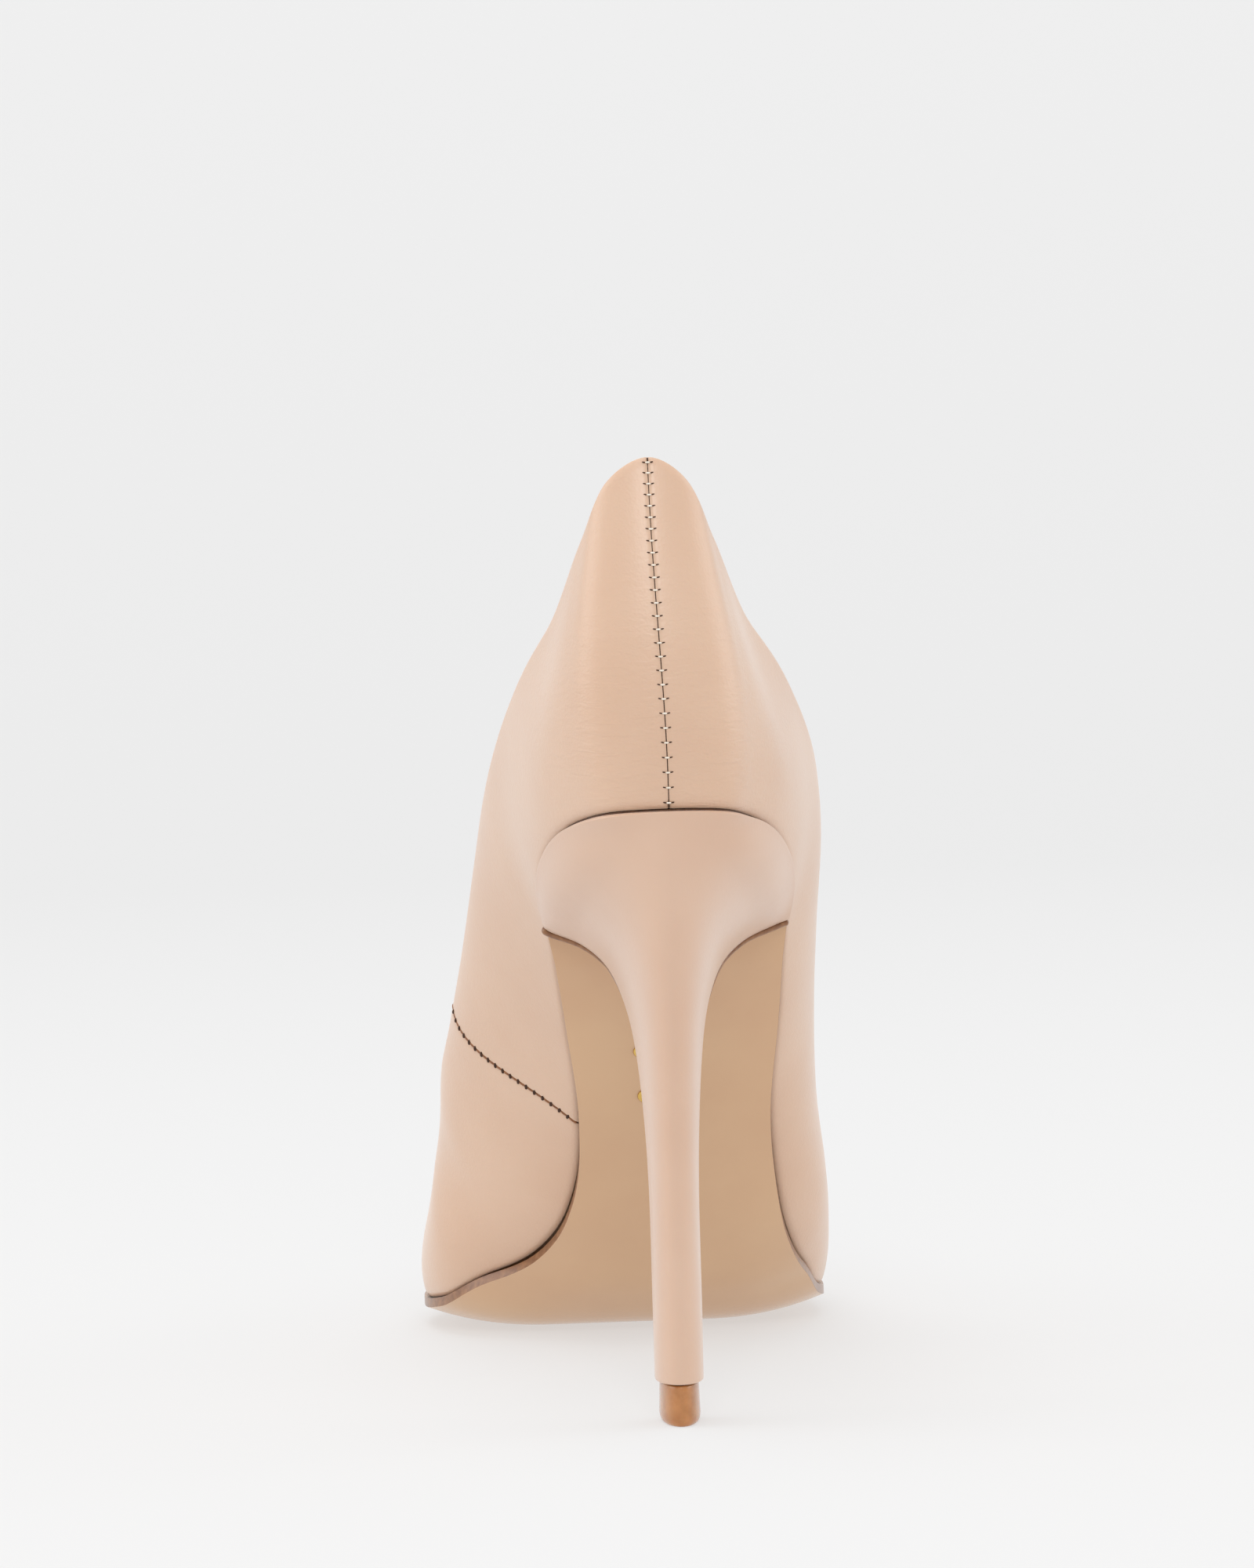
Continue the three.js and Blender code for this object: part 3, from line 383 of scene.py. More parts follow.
def nappa(name, colour, deep, roughness, pebble, crease):
    """Satin calf leather: tone drifts over centimetres, pebble over 0.4 mm, creases at the heel."""
    material, shader = new_material(name, IOR=1.5, Coat_Weight=0.3, Coat_Roughness=0.3,
                                    Sheen_Weight=0.28, Sheen_Roughness=0.35)
    shader.inputs["Subsurface Weight"].default_value = 0.06
    shader.inputs["Subsurface Radius"].default_value = (0.0012, 0.0006, 0.0003)
    shader.inputs["Subsurface Scale"].default_value = 1.0
    place = add_node(material, "ShaderNodeTexCoord").outputs["Object"]
    drift = add_node(material, "ShaderNodeTexNoise", {"Vector": place}, scale=per_metre(DRIFT_MM), detail=3.0)
    tone = add_node(material, "ShaderNodeValToRGB", {"Fac": drift.outputs["Fac"]})
    tone.color_ramp.elements[0].position, tone.color_ramp.elements[0].color = 0.35, linear(deep)
    tone.color_ramp.elements[1].position, tone.color_ramp.elements[1].color = 0.65, linear(colour)
    cells = add_node(material, "ShaderNodeTexVoronoi", {"Vector": place}, scale=per_metre(PEBBLE_MM))
    cells.feature = "SMOOTH_F1"
    soft = add_node(material, "ShaderNodeTexNoise", {"Vector": place}, scale=per_metre(FOLD_MM), detail=4.0)
    grain = add_node(material, "ShaderNodeMath", {0: cells.outputs["Distance"], 1: soft.outputs["Fac"]})
    # Creases are 1 mm high and 5 mm long, strongest low on the counter.
    stretch = add_node(material, "ShaderNodeMapping", {"Vector": place}, scale=(0.22, 0.22, 1.0))
    folds = add_node(material, "ShaderNodeTexNoise", {"Vector": stretch.outputs["Vector"]},
                     scale=per_metre(FOLD_MM), detail=3.0, distortion=0.8)
    apart = add_node(material, "ShaderNodeSeparateXYZ", {"Vector": place})
    heel_y = (SHIFT[1] + 2.0) * MM
    near = add_node(material, "ShaderNodeMapRange", {"Value": apart.outputs["Y"]})
    near.inputs["From Min"].default_value = heel_y + CREASE_NONE
    near.inputs["From Max"].default_value = heel_y + CREASE_FULL
    low = add_node(material, "ShaderNodeMapRange", {"Value": apart.outputs["Z"]})
    low.inputs["From Min"].default_value = CREASE_HIGH
    low.inputs["From Max"].default_value = CREASE_LOW
    where = add_node(material, "ShaderNodeMath", {0: near.outputs["Result"], 1: low.outputs["Result"]},
                     operation="MULTIPLY")
    creases = add_node(material, "ShaderNodeMath", {0: folds.outputs["Fac"], 1: where.outputs["Value"]},
                       operation="MULTIPLY")
    fine = add_node(material, "ShaderNodeBump", {"Height": grain.outputs["Value"]}, distance=0.00006)
    fine.inputs["Strength"].default_value = pebble
    both = add_node(material, "ShaderNodeBump", {"Height": creases.outputs["Value"],
                                                 "Normal": fine.outputs["Normal"]}, distance=0.00045)
    both.inputs["Strength"].default_value = crease
    gloss = add_node(material, "ShaderNodeMapRange", {"Value": soft.outputs["Fac"]})
    gloss.inputs["To Min"].default_value = roughness - 0.05
    gloss.inputs["To Max"].default_value = roughness + 0.06
    links = material.node_tree.links
    links.new(tone.outputs["Color"], shader.inputs["Base Color"])
    links.new(gloss.outputs["Result"], shader.inputs["Roughness"])
    links.new(both.outputs["Normal"], shader.inputs["Normal"])
    return material


upper_leather = nappa("nude_nappa_leather", "#dcbaa0", "#d8b499", 0.37, 0.6, 0.4)
heel_leather = nappa("heel_nappa_leather", "#dab8a0", "#d6b299", 0.34, 0.25, 0.0)
print("leathers", upper_leather.name, heel_leather.name)

# %% [markdown]
# ### Sole, edges, polyurethane, metal and thread
# The sole is leather under several coats of nude lacquer, so it is the glossiest large surface.
# Its cut edge is stained brown and burnished. The top piece is amber polyurethane, hard and
# slightly see-through. Each of these is one colour with small changes, which keeps it alive.

# %% Plain finishes
def finish_of(name, colour, deep, roughness, cell_mm=3.0, bump=0.0, bump_mm=0.05, **sockets):
    """One finish whose tone wanders between two colours over cells of the given size."""
    material, shader = new_material(name, **sockets)
    place = add_node(material, "ShaderNodeTexCoord").outputs["Object"]
    drift = add_node(material, "ShaderNodeTexNoise", {"Vector": place}, scale=1000.0 / cell_mm, detail=4.0)
    tone = add_node(material, "ShaderNodeValToRGB", {"Fac": drift.outputs["Fac"]})
    tone.color_ramp.elements[0].position, tone.color_ramp.elements[0].color = 0.35, linear(deep)
    tone.color_ramp.elements[1].position, tone.color_ramp.elements[1].color = 0.65, linear(colour)
    gloss = add_node(material, "ShaderNodeMapRange", {"Value": drift.outputs["Fac"]})
    gloss.inputs["To Min"].default_value = max(0.02, roughness - 0.04)
    gloss.inputs["To Max"].default_value = roughness + 0.04
    links = material.node_tree.links
    links.new(tone.outputs["Color"], shader.inputs["Base Color"])
    links.new(gloss.outputs["Result"], shader.inputs["Roughness"])
    if bump:
        height = add_node(material, "ShaderNodeBump", {"Height": drift.outputs["Fac"]}, distance=bump_mm * MM)
        height.inputs["Strength"].default_value = bump
        links.new(height.outputs["Normal"], shader.inputs["Normal"])
    return material


# Lacquered sole leather: glossy, even, a little darker than the upper.
sole_lacquer = finish_of("lacquered_sole_leather", "#d6b08a", "#d1a984", 0.24, 30.0, IOR=1.5,
                         Coat_Weight=0.35, Coat_Roughness=0.12)
# Stained and burnished cut edge of the sole: brown with fibre streaks.
sole_edge = finish_of("burnished_brown_edge", "#9a6a42", "#7d4f2c", 0.3, 1.2, 0.25, IOR=1.5, Coat_Weight=0.4,
                      Coat_Roughness=0.2)
# Gap between upper and heel: dull dark brown, for the brown leather edges in it and painted shade of the gap.
edge_and_gap_shade_line = finish_of("brown_edge_and_gap_shade_line", "#5f3a20", "#472a16", 0.6, 0.8)
# Moulded polyurethane top piece: amber, smooth, light goes a little way in.
amber_pu = finish_of("amber_polyurethane", "#c0834a", "#ad713a", 0.24, 3.0, IOR=1.52, Coat_Weight=0.5,
                     Coat_Roughness=0.08, Subsurface_Weight=0.25, Subsurface_Scale=0.002)
# Kid leather lining: matt, pale, with very fine grain.
lining_leather = finish_of("kid_leather_lining", "#e4cbb3", "#dcc1a8", 0.62, 0.6, 0.3, IOR=1.46)
# Moulded ABS heel core: off-white, slightly glossy plastic.
abs_plastic = finish_of("moulded_abs", "#e6dfd0", "#ded6c5", 0.4, 8.0, IOR=1.53)
# Cellulose fibreboard of insole and shank board: brown, dull, fibrous.
fibreboard = finish_of("cellulose_fibreboard", "#a98c68", "#957857", 0.9, 0.7, 0.5, IOR=1.5)
stiff_board = finish_of("brown_stiffener_board", "#8a6444", "#765237", 0.85, 0.7, 0.4, IOR=1.5)
cork_paste = finish_of("cork_filler", "#7c6548", "#5b4830", 0.9, 0.9, 0.6, IOR=1.5)
cotton_tape = finish_of("woven_cotton_tape", "#e9e3d6", "#ddd5c4", 0.85, 0.4, 0.5, IOR=1.47)
latex_foam = finish_of("latex_foam", "#efe5c9", "#e5d9b8", 0.9, 0.5, 0.6, IOR=1.45)
# Hardened steel of shank, tube, screw and nails; gold-plated brass of the studs.
bright_steel = finish_of("drawn_steel", "#b9bcc0", "#a9acb0", 0.3, 2.0, Metallic=1.0)
gold_plate = finish_of("gold_plated_brass", "#e0bd6c", "#d6b060", 0.16, 2.0, Metallic=1.0)
# Bonded polyester sewing thread, cream, 0.3 mm thick, with a twist too fine to see singly.
cream_thread = finish_of("cream_polyester_thread", "#f6efe4", "#e9dcc9", 0.45, 0.25, 0.5, IOR=1.5,
                         Sheen_Weight=0.3)
# Cut edge of the lapped quarter: undyed leather fibre, orange brown where the edge ink soaked in.
raw_edge = finish_of("inked_raw_leather_edge", "#97623a", "#7a4a28", 0.55, 0.7, 0.3, IOR=1.48)
# Painted shade of needle holes, slits and the seam's groove: a dark brown that stands for the shade in these
# pits and gaps.
needle_shadow = finish_of("needle_hole_painted_shade", "#4a2d1a", "#38200f", 0.8, 0.5)
print("finishes", len(bpy.data.materials))

# %% [markdown]
# ## Turning grids of points into pieces
# Most pieces here are sheets: leather, lining, board. A sheet is a grid of points on its outer
# face; the Solidify modifier gives it thickness and a small Bevel rounds the cut edge, because a
# perfectly sharp edge never catches the light as leather does.

# %% Sheet helpers
def link_object(name, mesh, materials, smooth=True):
    item = bpy.data.objects.new(name, mesh)
    bpy.context.scene.collection.objects.link(item)
    for material in materials:
        mesh.materials.append(material)
    if smooth:
        for polygon in mesh.polygons:
            polygon.use_smooth = True
    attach(item, "root")
    return item


def grid_mesh(name, grids, flips, weld_mm=0.004):
    """One mesh from several grids (rows x columns x 3, millimetres), welded where they touch."""
    vertices, faces = [], []
    for grid, flip in zip(grids, flips):
        start, (n, m) = len(vertices), grid.shape[:2]
        vertices.extend(((grid + SHIFT) * MM).reshape(-1, 3).tolist())
        for i in range(n - 1):
            for j in range(m - 1):
                near, far = start + i * m + j, start + (i + 1) * m + j
                quad = [near, far, far + 1, near + 1]
                faces.append(quad[::-1] if flip else quad)
    mesh = bpy.data.meshes.new(name)
    mesh.from_pydata(vertices, [], faces)
    work = bmesh.new()
    work.from_mesh(mesh)
    bmesh.ops.remove_doubles(work, verts=work.verts, dist=weld_mm * MM)
    bmesh.ops.dissolve_degenerate(work, dist=weld_mm * MM * 0.5, edges=work.edges)
    work.to_mesh(mesh)
    work.free()
    return mesh


def thicken(item, thickness_mm, bevel_mm=0.0, segments=3, edge_slot=0):
    solid = item.modifiers.new("thickness", "SOLIDIFY")
    solid.thickness = thickness_mm * MM
    solid.offset = -1.0
    solid.use_even_offset = False
    solid.material_offset_rim = edge_slot
    if bevel_mm:
        soften = item.modifiers.new("soft_edge", "BEVEL")
        soften.width = bevel_mm * MM
        soften.segments = segments
        soften.limit_method = "ANGLE"
        soften.angle_limit = math.radians(50)
        soften.use_clamp_overlap = True
    return item

# %% [markdown]
# ## The upper
# The vamp is one piece of leather that covers the toe and the whole outer side back to the heel
# seam; a second piece, the quarter, covers the inner side. They meet in two seams. Close to a
# seam the leather is pulled down by the thread, so the sheets dip there before they end.

# %% Vamp and quarter
# Gaps that keep the pieces apart at the back seam and at the side seam, as shares of a rib step.
SEAM_GAP, LAP_GAP = 0.009, 0.016
# Leather from foot edge to topline, in millimetres, and how fast the fold fades at the throat.
UPPER_MM, FOLD_FADE = 45.0, 0.12
LEATHER_MM = 1.0


def side_seam(t):
    """Where the inner side seam runs, as a rib position for each height t."""
    return 7.15 + 0.1 * t + 0.6 * t * t


def span_mm(side, s, t):
    """Millimetres of leather for one rib step at that place."""
    return np.linalg.norm(upper_point(side, s + 0.05, t) - upper_point(side, s - 0.05, t), axis=-1) * 10


def leather_grid(side, s, t, dips=()):
    """Outer face of a leather piece. Each dip is (rib position, reach in mm, depth in mm)."""
    point, normal = upper_point(side, s, t), upper_normal(side, s, t)
    sink = np.zeros(s.shape)
    for place, reach, deep in dips:
        away = np.abs(s - place) * span_mm(side, s, t) / reach
        sink = sink + deep * np.clip(1 - away, 0, 1)**2
    # The leather turns under at the sole edge and is folded in along the topline.
    foot_mm = t * UPPER_MM
    sink = sink + 0.5 * np.clip(1 - foot_mm / 1.6, 0, 1)**2
    top_mm = (1 - t) * UPPER_MM
    folded = np.where(s < THROAT, 1.0, np.clip(1 - (s - THROAT) / FOLD_FADE, 0, 1))
    sink = sink + 0.35 * folded * np.clip(1 - top_mm / 1.1, 0, 1)**2
    return point - normal * sink[..., None]


def clustered(low, high, count, near_low=0.0, near_high=0.0):
    """Evenly spread values with extra ones packed against either end."""
    values = list(np.linspace(low, high, count))
    for reach, end, sign in ((near_low, low, 1), (near_high, high, -1)):
        if reach:
            values += [end + sign * reach * f for f in (0.06, 0.14, 0.25, 0.4, 0.6, 0.8)]
    return np.unique(np.round(values, 6))


HEIGHTS = np.concatenate([[0.0, 0.004, 0.01, 0.018, 0.028], np.linspace(0.045, 0.955, 40),
                          [0.972, 0.982, 0.99, 0.996, 1.0]])
back_columns = clustered(SEAM_GAP, TOE, 150, near_low=0.14)
outer_s, outer_t = np.meshgrid(back_columns, HEIGHTS, indexing="ij")
BACK_DIP = (0.0, 0.9, 0.22)
outer_grid = leather_grid(OUTER, outer_s, outer_t, dips=[BACK_DIP])
share = clustered(0, 1, 96, near_low=0.02)
seam_s = side_seam(HEIGHTS)[None]
inner_s = seam_s + LAP_GAP + share[:, None] * (TOE - seam_s - LAP_GAP)
inner_t = np.broadcast_to(HEIGHTS[None], inner_s.shape)
# The vamp dips under the lapped edge of the quarter.
LAP_DIP, LAP_REACH = 0.32, 1.3
from_seam_mm = (inner_s - side_seam(inner_t)) * span_mm(INNER, inner_s, inner_t)
dip_inner = LAP_DIP * np.clip(1 - from_seam_mm / LAP_REACH, 0, 1)**2
inner_grid = leather_grid(INNER, inner_s, inner_t)
inner_grid -= upper_normal(INNER, inner_s, inner_t) * dip_inner[..., None]
vamp = link_object("vamp_leather", grid_mesh("vamp_leather", [outer_grid, inner_grid], [False, True]),
                   [upper_leather, sole_edge])
thicken(vamp, LEATHER_MM, 0.18)
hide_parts("vamp")

share = clustered(0, 1, 70, near_low=0.02, near_high=0.02)
quarter_s = SEAM_GAP + share[:, None] * (seam_s - LAP_GAP - SEAM_GAP)
quarter_t = np.broadcast_to(HEIGHTS[None], quarter_s.shape)
quarter_grid = leather_grid(INNER, quarter_s, quarter_t, dips=[BACK_DIP])
near_side = (side_seam(quarter_t) - quarter_s) * span_mm(INNER, quarter_s, quarter_t)
tuck = 0.1 * np.clip(1 - near_side / 0.5, 0, 1)**2
quarter_grid = quarter_grid - upper_normal(INNER, quarter_s, quarter_t) * tuck[..., None]
quarter = link_object("quarter_leather", grid_mesh("quarter_leather", [quarter_grid], [True]),
                      [upper_leather, sole_edge])
thicken(quarter, LEATHER_MM, 0.12)
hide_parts("medial_quarter")
print("upper points", len(vamp.data.vertices), len(quarter.data.vertices))

# %% [markdown]
# ## The covered heel
# The heel is a moulded plastic core wrapped in the same leather. Its back runs down from the
# seat in one long curve. The front, called the breast, is flat and is hidden by a tongue of the
# sole. It is built from rings that are wide at the seat and shrink to the stem; the leather is
# wrapped round the back only, so the sheet stops at the two breast corners.

# %% Heel rings
# Columns: z at the back, z at the front, y at the back, y at the front, half width.
STEM = [7.3, 7.3, 12.0, 20.6, 3.3]
HEEL_RINGS = np.array([
    STEM, [20, 20, 12.2, 21.5, 3.35], [40, 39, 12.0, 23.5, 3.4], [56, 53, 10.8, 26.5, 4.0],
    [70, 64, 9, 31, 5.15], [80, 71, 7, 35.5, 6.9], [88, 76, 5.4, 40, 9.4], [95, 79.6, 4, 43.6, 13.6],
    [101, 81.8, 3, 46.4, 19], [104.5, 83, 2.5, 47.6, 21.4],
], dtype=float)
line_s = np.linspace(0, TOE, 1200)


def outline_x(side, y, inset):
    """Half of the sole outline: x at each y, moved in by the inset."""
    rib, normal = rib_values(side, line_s), plan_normal(side, line_s)
    edge = rib[:, :2] - normal * inset
    order = np.argsort(edge[:, 1])
    return np.interp(y, edge[order, 1], edge[order, 0])


def seat_line(k, inset):
    """The top ring: the foot edge of the upper, shared out evenly from the centre back."""
    seat_s = np.linspace(0, 6, 400)
    points = np.empty((len(k), 3))
    for side, chosen in ((INNER, k < 0), (OUTER, k >= 0)):
        edge = rib_values(side, seat_s)[:, :2] - plan_normal(side, seat_s) * inset
        edge = edge[edge[:, 1] <= HEEL_RINGS[-1][3] + 0.01]
        run = np.concatenate([[0], np.cumsum(np.hypot(*np.diff(edge, axis=0).T))])
        want = np.abs(k[chosen])**0.94 * run[-1]
        x, y = np.interp(want, run, edge[:, 0]), np.interp(want, run, edge[:, 1])
        points[chosen] = above_sole(x, y, -0.25)
    return points


def ring_points(ring, k, inset):
    """Points round one ring: k runs from -1 at the inner breast corner to 1 at the outer one."""
    z_back, z_front, y_back, y_front, half = HEEL_RINGS[ring]
    reach = np.abs(k)
    cy = (1 - np.cos(reach * np.pi / 2))**0.9
    cx = np.sign(k) * np.sin(np.minimum(1, reach * 1.12) * np.pi / 2)**0.86
    up = ring / (len(HEEL_RINGS) - 1)
    y = y_back + inset + (y_front - y_back - inset) * cy
    if ring == len(HEEL_RINGS) - 1:
        return seat_line(k, inset)
    x = -0.3 + 0.7 * up + cx * np.maximum(0, half - inset)
    return np.stack([x, y, z_back + (z_front - z_back) * cy], axis=-1)


def spline_rows(rows, count):
    """Smooth rows between the listed rows, by a Catmull-Rom spline through each column."""
    rows = np.asarray(rows)
    padded = np.concatenate([[2 * rows[0] - rows[1]], rows, [2 * rows[-1] - rows[-2]]])
    place = np.linspace(0, len(rows) - 1, count)
    i = np.minimum(place.astype(int), len(rows) - 2)
    k = (place - i)[:, None, None]
    a, b, c, d = (padded[i + n] for n in range(4))
    return 0.5 * (2 * b + (c - a) * k + (2 * a - 5 * b + 4 * c - d) * k**2 + (3 * b - a - 3 * c + d) * k**3)


around = np.linspace(-1, 1, 97)
heel_rows = spline_rows([ring_points(r, around, 0.0) for r in range(len(HEEL_RINGS))], 110)
heel_cover = link_object("heel_cover_leather", grid_mesh("heel_cover_leather", [heel_rows], [False]),
                         [heel_leather, sole_edge])
thicken(heel_cover, 0.8, 0.2)
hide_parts("heel_cover")
print("heel height", round(float(heel_rows[..., 2].max()), 1), "mm")

# %% [markdown]
# ## The sole and its tongue
# One piece of sole leather runs from the toe, up under the arch and, as a tongue, down the
# breast of the heel to the top piece. Its face is lacquered and its cut edge is stained brown,
# so the two are given different materials on one mesh. Lofting it through cross-sections keeps
# the tongue and the tread a single sheet, as it is on the bench.

# %% Outsole with the breast tongue
SOLE_GAP, SOLE_MM, TONGUE_MM = 0.25, 1.75, 1.2


def breast_corners(count):
    """Inner and outer corner of the heel breast, from the seat down to the foot of the stem."""
    ends = np.array([-1.0, 1.0])
    return spline_rows([ring_points(r, ends, 0.0) for r in range(len(HEEL_RINGS))], count)[::-1]


def sole_sections():
    """Cross-sections from toe to heel foot: (left, right, inner point, outer point) each."""
    sections = []
    ys = np.concatenate([[215.7, 215.3, 214.6, 213.6, 212.3], np.linspace(211, 118, 64),
                         np.linspace(116.8, 54, 54)])
    overhang = smooth_steps([(0, -0.2), (100, -0.2), (122, 0.5), (205, 0.6), (216, 0.4)], ys)
    for y, extra in zip(ys, overhang):
        left, right = outline_x(INNER, y, -extra), outline_x(OUTER, y, -extra)
        top, low = above_sole(0, y, -SOLE_GAP), above_sole(0, y, -SOLE_GAP - SOLE_MM)
        sections.append([left, right, top[1:], low[1:]])
    breast = breast_corners(90)
    count = len(breast)
    for i, (left, right) in enumerate(breast):
        before, after = breast[max(0, i - 1), 1], breast[min(count - 1, i + 1), 1]
        run = (after - before)[1:] / np.linalg.norm((after - before)[1:])
        ahead = np.array([-run[1], run[0]])
        part = min(1.0, i / 20)
        sheet = SOLE_MM * 1.15 * (1 - part) + TONGUE_MM * part
        inner = right[1:] + ahead * (SOLE_GAP + 0.05) * min(1, i / 3)
        # The tongue's stained edge stands out beside the leather, most where the heel flares.
        proud = 0.3 + 0.5 * math.exp(-((i - 34) / 16)**2)
        proud *= min(1.0, i / 6)
        sections.append([left[0] - 0.7 * proud, right[0] + proud, inner, inner + ahead * sheet])
    return sections


def loft_sections(sections, across):
    """Closed mesh through the sections, with a material number for faces and for cut edges."""
    rings = []
    for left, right, inner, outer in sections:
        xs = left + (right - left) * np.linspace(0, 1, across)
        rise = curl(xs, np.full(across, inner[0]))
        rings.append([(x, inner[0], inner[1] + c) for x, c in zip(xs, rise)]
                     + [(x, outer[0], outer[1] + c) for x, c in zip(xs[::-1], rise[::-1])])
    rings = np.array(rings)
    n, m = rings.shape[:2]
    vertices = ((rings + SHIFT) * MM).reshape(-1, 3).tolist()
    faces, kinds = [], []
    for i in range(n - 1):
        for j in range(m):
            k = (j + 1) % m
            faces.append((i * m + j, (i + 1) * m + j, (i + 1) * m + k, i * m + k))
            kinds.append(1 if j in (across - 1, m - 1) else 0)
    for base, flip in ((0, False), ((n - 1) * m, True)):
        for j in range(across - 1):
            quad = (base + j, base + j + 1, base + m - 2 - j, base + m - 1 - j)
            faces.append(quad[::-1] if flip else quad)
            kinds.append(1)
    return vertices, faces, kinds


def sole_piece(name, sections, across, materials, bevel_mm=0.25):
    vertices, faces, kinds = loft_sections(sections, across)
    mesh = bpy.data.meshes.new(name)
    mesh.from_pydata(vertices, [], faces)
    mesh.update()
    item = link_object(name, mesh, materials)
    for polygon, kind in zip(mesh.polygons, kinds):
        polygon.material_index = kind
    work = bmesh.new()
    work.from_mesh(mesh)
    bmesh.ops.recalc_face_normals(work, faces=work.faces)
    work.to_mesh(mesh)
    work.free()
    soften = item.modifiers.new("soft_edge", "BEVEL")
    soften.width, soften.segments = bevel_mm * MM, 3
    soften.limit_method, soften.angle_limit = "ANGLE", math.radians(60)
    soften.harden_normals = True
    return item


sole = sole_piece("sole_leather", sole_sections(), 33, [sole_lacquer, sole_edge])
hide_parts("outsole")
print("sole faces", len(sole.data.polygons))

# %% [markdown]
# ## Top piece
# The replaceable plastic tip under the stem. It is moulded slightly wider than the stem and its
# edge is worn round. A row of rings from the stem's own outline keeps the two in line.

# %% Top piece
def tip_rings():
    levels = [(0.0, 1.5), (0.0, 0.75), (0.08, 0.4), (0.3, 0.12), (0.7, -0.05), (1.4, -0.15), (3.5, -0.06),
              (6.0, 0.0), (6.7, 0.02), (6.95, 0.12), (7.0, 0.35), (7.0, 1.5)]
    k = np.linspace(-1, 1, 41)
    rings = []
    for z, inset in levels:
        ring = ring_points(0, k, inset)
        reach = (1 - np.cos(np.abs(k) * np.pi / 2))**0.9
        ring[:, 1] += TONGUE_MM * 0.9 * reach - np.where(np.abs(k) > 0.9, inset, 0)
        ring[:, 2] = z
        rings.append(np.concatenate([ring, ring[:1]]))
    return np.array(rings)


def closed_rings(name, rings, materials):
    """A closed piece through loops of points, capped flat at both ends."""
    n, m = rings.shape[0], rings.shape[1] - 1
    vertices = ((rings[:, :-1] + SHIFT) * MM).reshape(-1, 3).tolist()
    faces = [(i * m + j, i * m + (j + 1) % m, (i + 1) * m + (j + 1) % m, (i + 1) * m + j)
             for i in range(n - 1) for j in range(m)]
    faces.append(tuple(range(m))[::-1])
    faces.append(tuple((n - 1) * m + j for j in range(m)))
    mesh = bpy.data.meshes.new(name)
    mesh.from_pydata(vertices, [], faces)
    work = bmesh.new()
    work.from_mesh(mesh)
    bmesh.ops.recalc_face_normals(work, faces=work.faces)
    work.to_mesh(mesh)
    work.free()
    return link_object(name, mesh, materials)


tip = closed_rings("top_piece_polyurethane", tip_rings(), [amber_pu])
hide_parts("top_piece")
print("top piece points", len(tip.data.vertices))

# %% [markdown]
# ## Inside the shoe
# The lining is thin kid leather pasted inside the upper. At the topline it comes up against the
# folded edge of the upper, so the gap that holds the stiffeners closes there. The sock is the
# lining the foot stands on; under it are two foam pads.

# %% Linings and sock
LINING_AT, LINING_MM = 2.1, 0.6
# Depth of the lining where it meets the folded topline, how far down it gets there, and its top.
FOLD_AT, FOLD_REACH, LINING_TOP = 1.08, 3.5, 0.988


def lining_grid(side, s, t):
    """Outer face of the lining: as deep as the stiffener, rising to the fold at the topline."""
    top_mm = (1 - t) * UPPER_MM
    rising = np.where(s < THROAT, 1.0, np.clip(1 - (s - THROAT) / FOLD_FADE, 0, 1))
    depth = LINING_AT - (LINING_AT - FOLD_AT) * rising * np.clip(1 - top_mm / FOLD_REACH, 0, 1)**0.8
    return upper_point(side, s, t) - upper_normal(side, s, t) * depth[..., None]


def lining_piece(name, s_low, s_high, t_low, node):
    grids = []
    for side in (OUTER, INNER):
        heights = np.linspace(t_low, LINING_TOP, 40)
        s, t = np.meshgrid(np.linspace(s_low, s_high, 90), heights, indexing="ij")
        # Over the toe both sides of the lining meet on the ridge.
        t = np.where(s > THROAT + FOLD_FADE, t / LINING_TOP, t)
        grids.append(lining_grid(side, s, t))
    item = link_object(name, grid_mesh(name, grids, [False, True]), [lining_leather])
    thicken(item, LINING_MM, 0.1, 2)
    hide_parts(node)
    return item


lining_piece("quarter_lining_kid", 0.0, 9.48, 0.05, "quarter_lining")
lining_piece("vamp_lining_kid", 9.52, 17.0, 0.05, "vamp_lining")

# Layers over the sole line: the insole board, which steps up over the shank board, pads, sock.
BOARD_LOW, BOARD_MM, SHANK_BOARD_MM, LAYER_GAP = 1.6, 1.3, 1.2, 0.25
SOCK_MM, SOCK_ROOM = 0.6, 0.2
BOARD_TOP = BOARD_LOW + BOARD_MM + LAYER_GAP
BACK_RISE = SHANK_BOARD_MM + LAYER_GAP
BOARD_STEP = [(0, BACK_RISE), (123, BACK_RISE), (131, 0), (217, 0)]
PAD_STEP = [(0, 2.25), (49, 2.25), (60, 0), (105, 0), (114, 1.75), (169, 1.75), (180, 0), (217, 0)]


def board_height(y):
    return BOARD_TOP + smooth_steps(BOARD_STEP, np.atleast_1d(y))


def sock_height(y):
    return BOARD_TOP + smooth_steps(BOARD_STEP, y) + smooth_steps(PAD_STEP, y) + SOCK_MM + SOCK_ROOM


def sock_edge(side, s):
    """Where the sock meets the lining: the point of its inner face at the sock's height."""
    t = np.linspace(0.0, 0.45, 60)
    ss, tt = np.meshgrid(s, t, indexing="ij")
    inside = upper_point(side, ss, tt) - upper_normal(side, ss, tt) * (LINING_AT + LINING_MM + 0.1)
    lift = inside[..., 2] - sole_line(inside[..., 1])
    rise = (sole_line(inside[..., 1] + 0.5) - sole_line(inside[..., 1] - 0.5))
    lift = lift / np.hypot(1, rise)
    want = sock_height(inside[..., 1])
    first = np.argmax(lift >= want, axis=1)
    return inside[np.arange(len(s)), first]


